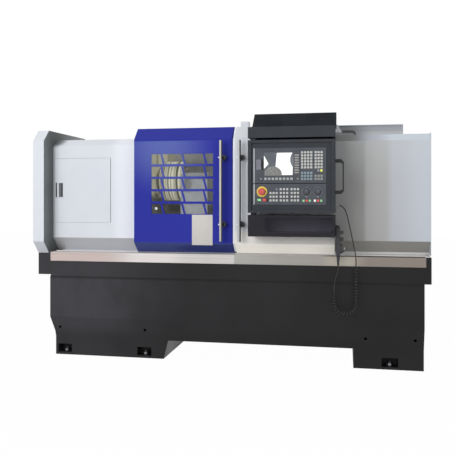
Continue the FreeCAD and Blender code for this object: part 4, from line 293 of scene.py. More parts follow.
@dataclass(frozen=True)
class PaintedLightSpot:
    """A soft patch of another colour about a point: a painted reflection, highlight or shade."""
    centre: Point
    reach: Point
    colour: Shown
    share: float = 1.0
    core: float = 0.2

    def apply(self, net: Net, colour: Signal) -> Signal:
        """Blend the colour towards this patch's own near its centre.

        Args:
            net: Tree of the finish's material.
            colour: The colour so far.

        Returns:
            The blended colour.
        """
        stretched = net.place(self.centre, tuple(1.0 / reach for reach in self.reach))
        away = net.node("ShaderNodeVectorMath", {"operation": "LENGTH"}, {0: stretched}, "Value")
        return net.blend(away.rise(self.core, 1.0, self.share, 0.0), colour, self.colour)


@dataclass(frozen=True)
class Patch:
    """A rectangle of another colour on an upright face, with soft sides, used as a painted highlight."""
    low: tuple[float, float]
    high: tuple[float, float]
    colour: Shown
    share: float = 1.0
    soft: float = 0.004

    def apply(self, net: Net, colour: Signal) -> Signal:
        """Blend the colour towards this patch's own between its corners.

        Args:
            net: Tree of the finish's material.
            colour: The colour so far.

        Returns:
            The blended colour.
        """
        across, _, up = net.axes(net.place())
        part: Any = self.share
        for inward in (across - self.low[0], up - self.low[1], self.high[0] - across, self.high[1] - up):
            part = inward.rise(0.0, self.soft) * part
        return net.blend(part, colour, self.colour)


# Ways of painting light, shade and reflections into a finish's colour.
Tone = Fade | PaintedLightSpot | Patch


@dataclass(frozen=True)
class Finish:
    """A named finish and its main colour."""
    name: str
    colour: Shown

    def inputs(self, net: Net) -> dict[str, Any]:
        """Values and signals of the surface shader.

        Args:
            net: Tree of the finish's material.

        Returns:
            What feeds each of the shader's sockets.
        """
        raise NotImplementedError

    def make(self) -> bpy.types.Material:
        """Build the material."""
        net = Net(bpy.data.materials.new(self.name))
        return net.finish(self.inputs(net))


@dataclass(frozen=True)
class Paint(Finish):
    """Sprayed or powder-coated paint with orange peel, slight mottling and rubbed patches, with optional
    painted light, shade and glow.
    """
    shade: Shown
    roughness: float = 0.34
    coat: float = 0.25
    patch: float = 2.2
    mix: float = 0.6
    peel: float = 0.05
    grain: float = 900.0
    scuffs: float = 0.0
    specular: float = 0.5
    # painted shade, highlights and reflections laid over the paint
    fades: tuple[Tone, ...] = ()
    # emission that paints light onto a part that is no lamp
    glow: float = 0.0

    def inputs(self, net: Net) -> dict[str, Any]:
        """Values and signals of the surface shader.

        Args:
            net: Tree of the finish's material.

        Returns:
            What feeds each of the shader's sockets.
        """
        place = net.place()
        patches = net.noise(place, self.patch, 4.0, 0.55)
        cloud = net.noise(net.place((0.3, 0.1, 0.2), (1.0, 1.0, 0.35)), self.patch * 3.0, 2.0)
        share = (patches * 0.7 + cloud * 0.3).rise(0.38, 0.66, 0.0, self.mix)
        colour = net.blend(share, self.colour, self.shade)
        for fade in self.fades:
            colour = fade.apply(net, colour)
        rough = patches.rise(0.3, 0.7, self.roughness * 0.85, self.roughness * 1.2)
        if self.scuffs > 0.0:
            lines = net.noise(net.place((0.0, 0.0, 0.0), (3.0, 3.0, 26.0)), 5.0, 6.0, 0.7)
            mark = lines.rise(0.66, 0.80, 0.0, self.scuffs)
            colour = net.blend(mark, colour, RUBBED)
            rough = rough + mark * 0.4
        skin = net.noise(place, self.grain, 2.0)
        return {"Base Color": colour, "Roughness": rough, "Coat Weight": self.coat,
                "Coat Roughness": COAT_ROUGHNESS, "Specular IOR Level": self.specular,
                "Emission Color": colour, "Emission Strength": self.glow,
                "Normal": net.bump(skin, self.peel, 0.0006)}


@dataclass(frozen=True)
class Metal(Finish):
    """Bare metal with fine lines along one axis and faint stains."""
    stain: Shown
    roughness: float = 0.3
    lines: Point = (2.0, 600.0, 600.0)
    line_depth: float = 0.12
    stain_share: float = 0.35
    metallic: float = 1.0
    # painted shade, highlights and reflections laid over the metal
    fades: tuple[Tone, ...] = ()
    specular: float = 0.5

    def inputs(self, net: Net) -> dict[str, Any]:
        """Values and signals of the surface shader.

        Args:
            net: Tree of the finish's material.

        Returns:
            What feeds each of the shader's sockets.
        """
        place = net.place()
        blot = net.noise(place, 9.0, 5.0, 0.6)
        fine = net.noise(net.place(scale=self.lines), 1.0, 2.0, 0.6)
        colour = net.blend(blot.rise(0.45, 0.75, 0.0, self.stain_share), self.colour, self.stain)
        for fade in self.fades:
            colour = fade.apply(net, colour)
        colour = net.blend(fine.rise(0.35, 0.7, 0.0, 0.18), colour, SCRATCH)
        rough = fine.rise(0.3, 0.7, self.roughness * 0.8, self.roughness * 1.25) + blot * 0.08
        return {"Base Color": colour, "Metallic": self.metallic, "Roughness": rough,
                "Specular IOR Level": self.specular,
                "Normal": net.bump(fine, self.line_depth, 0.0003)}


@dataclass(frozen=True)
class Turned(Finish):
    """Turned metal about the spindle's line: painted rings of reflected light and shade along the axis."""
    dark: Shown
    roughness: float = 0.28
    pitch: float = 55.0
    contrast: float = 0.8
    metallic: float = 0.85
    # emission that paints light onto the metal, which is no lamp
    glow: float = 0.0

    def inputs(self, net: Net) -> dict[str, Any]:
        """Values and signals of the surface shader.

        Args:
            net: Tree of the finish's material.

        Returns:
            What feeds each of the shader's sockets.
        """
        # bands: painted reflection rings along the axis
        bands = net.noise(net.place(scale=(1.0, 0.0, 0.0)), self.pitch, 2.0, 0.6)
        fine = net.noise(net.place(scale=(1.0, 0.02, 0.02)), self.pitch * 22.0, 1.0)
        oil = net.noise(net.place(), 14.0, 4.0)
        share = bands.rise(0.44, 0.56, 0.0, self.contrast)
        colour = net.blend(share, self.colour, self.dark)
        rough = bands * 0.25 + oil * 0.2 + self.roughness - 0.2
        return {"Base Color": colour, "Metallic": self.metallic, "Roughness": rough,
                "Emission Color": colour, "Emission Strength": self.glow,
                "Normal": net.bump(fine, 0.25, 0.0002)}


@dataclass(frozen=True)
class Moulded(Finish):
    """Moulded plastic or rubber with a fine texture and paler handled patches."""
    worn: Shown
    roughness: float = 0.5
    grain: float = 1600.0
    depth: float = 0.12
    gloss: float = 0.0

    def inputs(self, net: Net) -> dict[str, Any]:
        """Values and signals of the surface shader.

        Args:
            net: Tree of the finish's material.

        Returns:
            What feeds each of the shader's sockets.
        """
        place = net.place()
        touch = net.noise(place, 24.0, 4.0)
        skin = net.noise(place, self.grain, 2.0)
        colour = net.blend(touch.rise(0.45, 0.75, 0.0, 0.45), self.colour, self.worn)
        rough = touch.rise(0.3, 0.7, self.roughness * 1.1, self.roughness * 0.85)
        return {"Base Color": colour, "Roughness": rough, "Coat Weight": self.gloss,
                "Coat Roughness": 0.1, "Normal": net.bump(skin, self.depth, 0.0003)}


@dataclass(frozen=True)
class Lens(Finish):
    """A lit or coloured button top: glossy colour with a faint glow, which on tops that are no lamps is
    painted light.
    """
    glow: float = 0.15

    def inputs(self, net: Net) -> dict[str, Any]:
        """Values and signals of the surface shader.

        Args:
            net: Tree of the finish's material.

        Returns:
            What feeds each of the shader's sockets.
        """
        speck = net.noise(net.place(), 300.0, 3.0)
        dusty = net.blend(speck.rise(0.5, 0.8, 0.0, 0.25), self.colour, DUST)
        return {"Base Color": dusty, "Roughness": speck.rise(0.2, 0.8, 0.25, 0.4),
                "Coat Weight": 0.4, "Emission Color": paint(self.colour),
                "Emission Strength": self.glow}


@dataclass(frozen=True)
class ClearSheet(Finish):
    """Thin clear pane: mostly see-through, with a grey film and gloss."""
    cover: float = 0.12

    def inputs(self, net: Net) -> dict[str, Any]:
        """Values and signals of the surface shader.

        Args:
            net: Tree of the finish's material.

        Returns:
            What feeds each of the shader's sockets.
        """
        film = net.noise(net.place(scale=(1.0, 1.0, 0.3)), 7.0, 5.0, 0.6)
        alpha = film.rise(0.35, 0.75, self.cover * 0.5, self.cover * 1.8)
        return {"Base Color": paint(self.colour), "Roughness": film.rise(0.3, 0.8, 0.05, 0.16),
                "Alpha": alpha, "Coat Weight": 0.5}


@dataclass(frozen=True)
class ScreenPicture(Finish):
    """A display behind glass: pale shapes left by glare on a dark screen, with no lettering."""
    centre: Point
    width: float
    height: float
    edge: float = 0.04

    def inputs(self, net: Net) -> dict[str, Any]:
        """Values and signals of the surface shader.

        Args:
            net: Tree of the finish's material.

        Returns:
            What feeds each of the shader's sockets.
        """
        across, _, up = net.axes(net.place(self.centre, (2.0 / self.width, 1.0, 2.0 / self.height)))
        left = across * -1.0 - 0.67
        wedge = (left - up * 0.42).rise(0.0, self.edge) * (left + up * 0.77).rise(0.0, self.edge)
        dip = up - 0.35
        right_edge = (dip * dip * 0.45 + 0.78).at_most(0.95)
        glare = (across + 0.22 - up * 0.08).rise(0.0, self.edge) * (right_edge - across).rise(0.0, self.edge)
        glare = glare * (0.96 - up.size()).rise(0.0, self.edge / 2)
        round_x = (across + 0.38) / 0.60
        round_up = (up + 0.86) / 0.66
        disc = 1.0 - (round_x * round_x + round_up * round_up)
        hatch = net.noise(net.place(self.centre, (260.0, 1.0, 60.0)), 1.0, 3.0, 0.6)
        streaks = net.noise(net.place(self.centre, (18.0, 1.0, 14.0)), 1.0, 3.0)
        colour = net.blend(streaks.rise(0.3, 0.8), self.colour, (86, 90, 98))
        pale = net.blend(streaks.rise(0.55, 0.85, 0.0, 0.5), (250, 251, 252), (205, 208, 210))
        colour = net.blend((glare + wedge).at_most(1.0), colour, pale)
        striped = net.blend(hatch.rise(0.35, 0.65), (92, 93, 92), (126, 127, 124))
        colour = net.blend(disc.rise(0.0, 0.06), colour, striped)
        return {"Base Color": colour, "Roughness": 0.22, "Coat Weight": 0.3,
                "Emission Color": colour, "Emission Strength": 0.22}


class Finishes:
    """Every finish of the machine, made once and kept by name."""

    def __init__(self) -> None:
        """Make all materials."""
        groups = (self.covers(), self.insides(), self.doors(), self.stand(), self.console(), self.works(),
                  self.plastics(), self.lights())
        self.made = {spec.name: spec.make() for group in groups for spec in group}

    def __getitem__(self, name: str) -> bpy.types.Material:
        """The material of that name."""
        return self.made[name]

    @staticmethod
    def covers() -> list[Finish]:
        """Paints of the fixed covers, with the room's reflections painted on them and painted shade in their
        corners and on their facets.

        Returns:
            The finishes of this group.
        """
        # left: painted shade at the cover's left end and top left corner, painted light towards the doors,
        # painted shade on the lower facet
        left = (Fade(0, -1.165, -1.190, (150, 154, 156), 0.9), Fade(0, -0.80, -0.70, (226, 229, 235), 0.9),
                Fade(2, 0.768, 0.762, (184, 183, 184), 0.85),
                PaintedLightSpot((-1.19, -0.24, 1.42), (0.10, 0.2, 0.06), (98, 102, 103), 0.95, 0.4))
        # guard: painted shade on the end guard's inner wall, darkest behind its front edge and lighter
        # towards the back
        guard = (Fade(1, -0.39, -0.28, (104, 107, 106)), Fade(1, -0.25, 0.25, (178, 182, 182), 0.9))
        # right: painted light and reflections on the right cover, lighter towards its right end and top
        right = (Fade(0, 0.86, 0.885, (168, 169, 168)), Fade(0, 0.99, 1.05, (184, 187, 193)),
                 Fade(0, 1.05, 1.22, (194, 201, 210), 0.8), Fade(2, 1.10, 1.38, (200, 205, 210), 0.25))
        # roof: painted reflection on the right cover's roof, a darker grey at the left lightening towards the
        # right
        roof = (Fade(0, 0.78, 0.93, (176, 180, 190)), Fade(0, 0.93, 1.06, (202, 210, 219)))
        # foot: painted highlight along the bottom hem of the right cover's lower facet
        foot = (Fade(2, 0.694, 0.691, (234, 234, 234)),)
        # paddle: painted shade on the right side of the latch's paddle
        low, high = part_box("hatch_latch")
        middle = (low.x + high.x) / 2
        paddle = (Fade(0, middle - 2.0 * MM, middle + 6.0 * MM, (52, 54, 57)),)
        greys = {"panel_grey": ((150, 151, 149), (140, 141, 139), right),
                 "facet_grey": ((158, 156, 151), (150, 148, 143), foot),
                 "roof_grey": ((106, 107, 107), (98, 99, 99), roof)}
        return [Paint(name, colour, shade, 0.4, 0.1, 1.6, 0.7, specular=0.35, fades=fades)
                for name, (colour, shade, fades) in greys.items()] + [
            Paint("panel_white", (213, 217, 223), (205, 209, 217), 0.4, 0.05, specular=0.35),
            Paint("cover_white", (213, 217, 223), (205, 209, 217), 0.4, 0.05, specular=0.35, fades=left),
            # guard_shade is a darker copy of the white, painted shade for the end guard's inner wall
            Paint("guard_shade", (132, 138, 140), (124, 130, 132), 0.5, 0.0, specular=0.15, fades=guard),
            Paint("cabinet_grey", (200, 202, 206), (188, 190, 195), 0.4, 0.15, 3.0, 0.6, 0.12, 800.0),
            Paint("latch_grey", (104, 107, 108), (98, 101, 102), 0.4, 0.2, 10.0, 0.3, 0.02, fades=paddle)]

    @staticmethod
    def insides() -> list[Finish]:
        """Paints of the walls that show through the window, with painted shade, highlights, reflections and
        glow.

        Returns:
            The finishes of this group.
        """
        # wall: painted shade under the top lip and a painted highlight on the top edge, painted shade at the
        # upper right, above the chuck and under it, and a painted cream reflection beside the chuck
        wall = (Fade(2, 1.490, 1.500, (164, 167, 172), 0.9), Fade(2, 1.532, 1.536, (226, 230, 234)),
                PaintedLightSpot((0.70, 0.28, 1.49), (0.26, 0.4, 0.09), (96, 99, 102), 0.85, 0.3),
                PaintedLightSpot((-0.36, 0.28, 1.24), (0.26, 0.4, 0.10), (44, 47, 47), 0.8, 0.1),
                PaintedLightSpot((-0.52, 0.28, 1.34), (0.05, 0.4, 0.12), (200, 197, 168), 0.8, 0.3),
                PaintedLightSpot((-0.48, 0.28, 0.92), (0.30, 0.4, 0.16), (34, 38, 34), 0.95, 0.3))
        # bulkhead: a painted shade patch and painted shade towards the bottom
        bulkhead = (PaintedLightSpot((-0.54, 0.02, 1.30), (0.5, 0.035, 0.4), (120, 118, 92), 0.8, 0.2),
                    Fade(2, 1.07, 1.02, (34, 37, 34)))
        # splash: a painted shade patch on the splash plate, whose finish also glows with painted light
        splash = (PaintedLightSpot((-0.27, -0.19, 1.12), (0.05, 0.3, 0.07), (96, 100, 98), 0.8, 0.3),)
        return [
            Paint("panel_inside", (186, 188, 190), (168, 170, 172), 0.45, 0.1, fades=wall),
            # bulkhead_cream glows with painted light
            Paint("bulkhead_cream", (206, 203, 176), (196, 193, 166), 0.5, 0.0, 6.0, 0.5, 0.04, glow=0.3,
                  fades=bulkhead),
            Paint("splash_grey", (180, 184, 188), (160, 164, 168), 0.4, 0.0, 26.0, 0.7, 0.04, glow=0.08,
                  fades=splash)]

    @staticmethod
    def doors() -> list[Finish]:
        """Paints of the doors and the metal of their pulls, with painted sheen, shade and reflections.

        Returns:
            The finishes of this group.
        """
        # blue: painted sheen at the upper left, painted shade towards the right, a painted lighter patch over
        # the window's area, painted shade on the top facet, painted light on the lower facet, painted shade
        # low on the lower facet and a painted dark line along the right edge
        blue = (PaintedLightSpot((-0.38, -0.39, 1.37), (0.38, 0.5, 0.36), (92, 104, 168), 0.85, 0.1),
                Fade(0, -0.06, 0.05, (42, 47, 140), 0.7),
                Patch((-0.450, 1.00), (-0.060, 1.303), (76, 86, 160), 0.5, 0.1),
                Fade(2, 1.388, 1.392, (48, 54, 144)), Fade(2, 0.752, 0.744, (74, 84, 142)),
                PaintedLightSpot((-0.02, -0.36, 0.715), (0.34, 0.5, 0.032), (56, 64, 124), 0.9, 0.6),
                Fade(0, 0.060, 0.066, (28, 32, 84), 0.85))
        # white: painted light low on the right door
        white = (Fade(2, 0.84, 0.80, (224, 220, 214), 0.85),)
        tones = {"left": ((206, 202, 194), (186, 182, 174)), "right": ((196, 197, 197), (180, 181, 181))}
        tubes = []
        for side, (bright, stain) in tones.items():
            low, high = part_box(side + "_handle_tube")
            middle, radius = (low.x + high.x) / 2, (high.x - low.x) / 2
            # flanks: painted shade down the tube's right side, darkest at its right edge
            flanks = (Fade(0, middle - radius * 0.1, middle + radius * 0.45, (96, 96, 98)),
                      Fade(0, middle + radius * 0.45, middle + radius * 0.9, (40, 42, 52)))
            tubes.append(Metal("tube_" + side, bright, stain, 0.3, (400.0, 400.0, 6.0), 0.05, 0.3, 0.3,
                               flanks, 0.2))
        enamel = {"roughness": 0.4, "coat": 0.0, "patch": 1.6, "mix": 0.7, "peel": 0.03}
        return tubes + [
            Paint("door_blue", (49, 54, 151), (44, 49, 143), specular=0.04, fades=blue, **enamel),
            # side_blue is a brighter copy of the door's blue for its side wall in the gap, and glows with
            # painted light where shade falls
            Paint("side_blue", (60, 66, 166), (54, 60, 158), specular=0.12, glow=0.15, **enamel),
            Paint("door_white", (206, 209, 214), (196, 199, 205), 0.36, 0.1, fades=white),
            # facet_white is a brighter copy of the door's white for its lower facet and glows with painted
            # light; seam_white glows with painted light
            Paint("facet_white", (224, 221, 214), (214, 211, 204), 0.36, 0.1, glow=0.34),
            Paint("seam_white", (196, 200, 206), (190, 194, 200), 0.5, 0.0, glow=0.3),
            Paint("white_plate", (196, 192, 188), (190, 186, 183), 0.4, 0.1, 30.0, 0.5, 0.02),
            Metal("pin_bright", (236, 237, 238), (220, 221, 222), 0.3, (60.0, 60.0, 60.0), 0.02, 0.2, 0.2)]

    @staticmethod
    def stand() -> list[Finish]:
        """Paints of the base and the tray with painted shade, and the sill with painted highlights,
        reflections and shade.

        Returns:
            The finishes of this group.
        """
        # shades and foot: painted shade on the base and tray, darker towards the right, below the crease,
        # towards the bottom and under the tray's overhang
        shades = (Fade(0, -0.90, -0.20, (24, 24, 25), 0.85), Fade(0, 0.20, 0.90, (16, 16, 17), 0.7))
        foot = (Fade(2, 0.258, 0.252, (30, 30, 32), 0.25), Fade(2, 0.22, 0.12, (20, 20, 21), 0.5),
                Fade(2, 0.502, 0.512, (14, 14, 15), 0.5))
        # front: a painted highlight left of the middle, and painted reflections and shade darkening the sill
        # towards its right end and a little at its left end
        front = (PaintedLightSpot((-0.47, -0.39, 0.65), (0.28, 0.5, 0.5), (226, 219, 217), 0.9, 0.3),
                 Fade(0, -0.52, -0.80, (200, 183, 179)), Fade(0, 0.072, 0.084, (172, 170, 164)),
                 Fade(0, 0.10, 0.55, (163, 158, 152)), Fade(0, 0.60, 0.68, (178, 172, 158)),
                 Fade(0, 0.76, 0.90, (136, 126, 118)))
        # shelf and lip: painted shade towards the right on the shelf, painted shade in the lip's groove at
        # the right, lighter towards the back
        shelf = (Fade(0, -0.2, 0.9, (206, 206, 205)),)
        lip = (Fade(0, 0.58, 0.68, (52, 51, 46)), Fade(1, -0.345, -0.325, (206, 206, 205)))
        satin = {"roughness": 0.5, "coat": 0.0, "patch": 6.0, "mix": 0.5, "peel": 0.02}
        return [
            Paint("base_charcoal", (60, 59, 64), (46, 46, 49), 0.46, 0.0, 3.0, 0.8, 0.10, 500.0, 0.06, 0.25,
                  shades + foot),
            Paint("tray_charcoal", (53, 52, 56), (45, 45, 48), 0.44, 0.0, 3.0, 0.8, 0.08, 600.0, 0.04, 0.25,
                  shades),
            Paint("tray_top", (44, 43, 47), (38, 38, 41), 0.9, 0.0, 3.0, 0.8, 0.08, 600.0, specular=0.0),
            # sill_shelf is a bright copy with a glow, painted light on the up-facing shelf
            Paint("sill_shelf", (228, 230, 237), (222, 224, 231), glow=0.05, fades=shelf, **satin),
            Paint("sill_lip", (196, 190, 187), (188, 182, 180), specular=0.1, fades=lip, **satin),
            Metal("sill_stainless", (206, 203, 201), (196, 192, 190), 0.4, (1.5, 500.0, 500.0), 0.10, 0.5,
                  0.25, front),
            Metal("zinc", (150, 152, 156), (104, 104, 106), 0.38, (60.0, 60.0, 60.0), 0.1, 0.5)]

    @staticmethod
    def console() -> list[Finish]:
        """Paints of the console's boxes and panels.

        Returns:
            The finishes of this group.
        """
        powder = {"coat": 0.0, "patch": 8.0, "mix": 0.6, "grain": 1500.0}
        return [
            Paint("console_charcoal", (48, 51, 56), (42, 45, 50), 0.46, peel=0.18, specular=0.25, **powder),
            Paint("console_lid", (22, 26, 31), (18, 21, 25), 0.5, peel=0.18, specular=0.08, **powder),
            Paint("console_dark", (30, 29, 35), (26, 26, 31), 0.46, peel=0.18, specular=0.25, **powder),
            # pocket_dark glows with painted light on the back wall of the lower box's pocket
            Paint("pocket_dark", (62, 60, 68), (56, 55, 62), 0.5, peel=0.1, specular=0.2, glow=0.35,
                  **powder),
            Paint("panel_plate", (74, 78, 84), (66, 70, 76), 0.44, 0.0, 20.0, 0.6, 0.10, 1800.0, 0.0, 0.3),
            Metal("strip_silver", (176, 179, 186), (160, 162, 170), 0.35, (400.0, 400.0, 4.0), 0.06, 0.3,
                  0.7)]

    @staticmethod
    def works() -> list[Finish]:
        """Castings and steels behind the doors, with painted shade low down, painted glow and painted
        reflection rings.

        Returns:
            The finishes of this group.
        """
        return [
            # cast_grey darkens low down with painted shade
            Paint("cast_grey", (128, 131, 130), (108, 111, 110), 0.5, 0.1, 6.0, 0.8, 0.25, 260.0,
                  fades=(Fade(2, 1.00, 0.97, (52, 54, 54)),)),
            # cast_cream, on the headstock's flange round the nose, glows with painted light and darkens
            # towards the bottom with painted shade
            Paint("cast_cream", (204, 200, 172), (186, 182, 154), 0.5, 0.1, 12.0, 0.6, 0.25, 260.0, glow=0.4,
                  fades=(Fade(2, 1.10, 1.04, (52, 54, 50)),)),
            Paint("motor_black", (38, 38, 40), (30, 30, 32), 0.5, 0.05, 6.0, 0.7, 0.2, 500.0),
            Metal("ground_steel", (176, 176, 174), (120, 116, 108), 0.28, (4.0, 420.0, 420.0), 0.15, 0.5),
            Metal("black_steel", (74, 74, 78), (52, 52, 54), 0.34, (40.0, 300.0, 300.0), 0.12, 0.5),
            Metal("jaw_steel", (120, 116, 108), (70, 66, 60), 0.32, (80.0, 80.0, 300.0), 0.12, 0.5),
            # the chuck's strong rings and glow are painted reflections and painted light; the spindle's rings
            # are painted reflections
            Turned("chuck_steel", (255, 252, 226), (70, 68, 46), 0.5, 62.0, 0.95, 0.1, 0.34),
            Turned("spindle_steel", (190, 188, 180), (104, 100, 92), 0.3, 40.0, 0.5)]

    @staticmethod
    def plastics() -> list[Finish]:
        """Plastics, rubbers and key caps.

        Returns:
            The finishes of this group.
        """
        caps = {"key_light": ((186, 186, 183), (170, 170, 168)),
                "key_blue": ((128, 146, 154), (116, 134, 142)),
                "key_dull": ((146, 144, 143), (132, 130, 129)),
                "key_soft": ((160, 161, 160), (146, 147, 147)),
                "key_grey": ((116, 119, 124), (104, 107, 112)),
                "tick_grey": ((142, 145, 151), (130, 132, 138))}
        return [Moulded(name, colour, worn, 0.5, 900.0, 0.05) for name, (colour, worn) in caps.items()] + [
            Moulded("bracket_black", (34, 36, 36), (62, 64, 64), 0.4, 900.0, 0.12, 0.2),
            Moulded("knob_grey", (62, 64, 70), (82, 84, 90), 0.42, 1600.0, 0.12, 0.15),
            Moulded("pendant_black", (38, 39, 44), (58, 59, 64), 0.45, 1500.0, 0.18, 0.1),
            Moulded("cord_rubber", (34, 34, 36), (52, 52, 54), 0.5, 1200.0, 0.10),
            Moulded("belt_rubber", (26, 26, 27), (40, 40, 41), 0.7, 600.0, 0.3),
            Moulded("seal_black", (28, 28, 30), (42, 42, 44), 0.6, 900.0, 0.15),
            Moulded("flap_grey", (112, 112, 124), (132, 132, 142), 0.45, 1600.0, 0.1),
            Moulded("gland_pale", (150, 150, 146), (136, 136, 133), 0.5, 900.0, 0.1),
            Moulded("collar_yellow", (222, 190, 78), (204, 170, 62), 0.38, 900.0, 0.05, 0.4),
            Moulded("dial_silver", (188, 190, 194), (160, 162, 166), 0.3, 900.0, 0.05, 0.3)]

    @staticmethod
    def lights() -> list[Finish]:
        """Coloured button tops, lamps and the clear pane.

        Returns:
            The finishes of this group.
        """
        return [
            Lens("lens_red", (206, 62, 56)), Lens("lens_green", (140, 208, 142)),
            Lens("lamp_green", (128, 190, 138)), Lens("lamp_white", (226, 228, 230)),
            # the dome's strong glow is a painted highlight; the stop cap's faint glow is painted light
            Lens("cap_red", (186, 66, 58), 0.03), Lens("dome_white", (246, 247, 248), 0.9),
            Lens("key_lime", (222, 226, 96)),
            ClearSheet("window_clear", (150, 152, 146), 0.09)]


# ---------------------------------------------------------------- meshes
def place_object(name: str, data: Any) -> bpy.types.Object:
    """Put a new object into the scene.

    Args:
        name: The object's name.
        data: Its mesh, curve, lamp or camera.

    Returns:
        The object.
    """
    made = bpy.data.objects.new(name, data)
    bpy.context.scene.collection.objects.link(made)
    return made


def in_metres(profile: Profile) -> list[tuple[float, float]]:
    """Turn a profile in millimetres into metres."""
    return [(at * MM, radius * MM) for at, radius in profile]


def close_mesh(mesh: bmesh.types.BMesh, name: str) -> bpy.types.Mesh:
    """Turn a finished bmesh into mesh data and free it.

    Args:
        mesh: The bmesh.
        name: Name of the mesh data.

    Returns:
        The mesh data.
    """
    data = bpy.data.meshes.new(name)
    mesh.to_mesh(data)
    mesh.free()
    return data


def round_edges(mesh: bmesh.types.BMesh, edges: Iterable[bmesh.types.BMEdge], radius: float, segments: int,
                **options: bool) -> None:
    """Round chosen edges of a mesh.

    Args:
        mesh: The mesh.
        edges: The edges to round.
        radius: Their radius.
        segments: Steps round each.
        options: Other settings of the bevel.
    """
    bmesh.ops.bevel(mesh, geom=list(edges), offset=radius, offset_type="OFFSET", segments=segments,
                    profile=0.5, affect="EDGES", material=-1, clamp_overlap=True, **options)


def shade(mesh: bmesh.types.BMesh, sharpest: float) -> None:
    """Shade a mesh smooth, apart from edges that turn by more than some degrees.

    Args:
        mesh: The mesh.
        sharpest: The angle in degrees.
    """
    for face in mesh.faces:
        face.smooth = True
    for edge in mesh.edges:
        edge.smooth = len(edge.link_faces) == 2 and edge.calc_face_angle(0.0) < math.radians(sharpest)


class Extent:
    """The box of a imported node: its corners, middle and half width."""

    def __init__(self, node: str) -> None:
        """Measure the node.

        Args:
            node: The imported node.
        """
        self.low, self.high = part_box(node)
        self.centre = (self.low + self.high) / 2
        self.radius = (self.high.x - self.low.x) / 2


@dataclass
class Shape:
    """A mesh in the making, in metres in the machine's frame."""
    mesh: bmesh.types.BMesh = field(default_factory=bmesh.new)

    def block(self, low: Sequence[float], high: Sequence[float], edge: float = 0.0,
              segments: int = 2) -> "Shape":
        """Add a block with rounded edges.

        Args:
            low: Lowest corner.
            high: Highest corner.
            edge: Radius of its edges.
            segments: Steps round each edge.

        Returns:
            This shape.
        """
        verts = bmesh.ops.create_cube(self.mesh, size=1.0)["verts"]
        lows, highs = Vector(low), Vector(high)
        bmesh.ops.scale(self.mesh, vec=highs - lows, verts=verts)
        bmesh.ops.translate(self.mesh, vec=(lows + highs) / 2, verts=verts)
        if edge > 0.0:
            round_edges(self.mesh, {e for v in verts for e in v.link_edges}, edge, segments)
        return self

    def lathe(self, profile: Sequence[tuple[float, float]], origin: Sequence[float],
              axis: Sequence[float], steps: int = 40) -> "Shape":
        """Add a turned piece.

        Args:
            profile: Stations, each a distance along the axis and a radius.
            origin: Point on the axis where the distance is zero.
            axis: Direction of the axis.
            steps: Sides round the axis.

        Returns:
            This shape.
        """
        verts = [self.mesh.verts.new((radius, 0.0, at)) for at, radius in profile]
        edges = [self.mesh.edges.new(pair) for pair in zip(verts, verts[1:])]
        spun = bmesh.ops.spin(self.mesh, geom=verts + edges, cent=(0, 0, 0), axis=(0, 0, 1),
                              angle=2 * math.pi, steps=steps, use_merge=True, use_duplicate=False)
        known = set(verts) | {g for g in spun["geom_last"] if isinstance(g, bmesh.types.BMVert)}
        grown = self._connected(known)
        bmesh.ops.remove_doubles(self.mesh, verts=grown, dist=1e-6)
        grown = self._connected([v for v in grown if v.is_valid])
        turn = Vector((0, 0, 1)).rotation_difference(Vector(axis)).to_matrix()
        bmesh.ops.rotate(self.mesh, cent=(0, 0, 0), matrix=turn, verts=grown)
        bmesh.ops.translate(self.mesh, vec=Vector(origin), verts=grown)
        faces = list({f for v in grown for f in v.link_faces})
        bmesh.ops.recalc_face_normals(self.mesh, faces=faces)
        return self

    def prism(self, outline: Sequence[Sequence[float]], travel: Sequence[float],
              edge: float = 0.0) -> "Shape":
        """Push a flat outline along a vector.

        Args:
            outline: Corners of the outline in space.
            travel: How far it is pushed.
            edge: Radius of its edges.

        Returns:
            This shape.
        """
        verts = [self.mesh.verts.new(corner) for corner in outline]
        face = self.mesh.faces.new(verts)
        pushed = bmesh.ops.extrude_face_region(self.mesh, geom=[face])["geom"]
        moved = [g for g in pushed if isinstance(g, bmesh.types.BMVert)]
        bmesh.ops.translate(self.mesh, vec=Vector(travel), verts=moved)
        faces = list({f for v in verts + moved for f in v.link_faces})
        bmesh.ops.recalc_face_normals(self.mesh, faces=faces)
        if edge > 0.0:
            round_edges(self.mesh, {e for v in verts + moved for e in v.link_edges}, edge, 2)
        return self

    def _connected(self, seeds: Iterable[bmesh.types.BMVert]) -> list[bmesh.types.BMVert]:
        """All vertices joined by edges to the seeds.

        Args:
            seeds: Corners to start from.

        Returns:
            Those corners and all that are joined to them.
        """
        found, queue = set(seeds), list(seeds)
        while queue:
            for edge in queue.pop().link_edges:
                for vert in edge.verts:
                    if vert not in found:
                        found.add(vert)
                        queue.append(vert)
        return list(found)

    def finish(self, name: str, body: str, finish: bpy.types.Material, slot: str,
               smooth: float = 35.0) -> bpy.types.Object:
        """Turn the mesh into an object that rides on a body.

        Args:
            name: The piece's name.
            body: The body that it moves with.
            finish: Its material.
            slot: Not used.
            smooth: Edges flatter than this many degrees are shaded smooth.

        Returns:
            The object.
        """
        shade(self.mesh, smooth)
        data = close_mesh(self.mesh, name)
        piece = place_object(name, data)
        data.materials.append(finish)
        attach(piece, body)
        LOG.info("%s: %d faces on %s", name, len(data.polygons), body)
        return piece


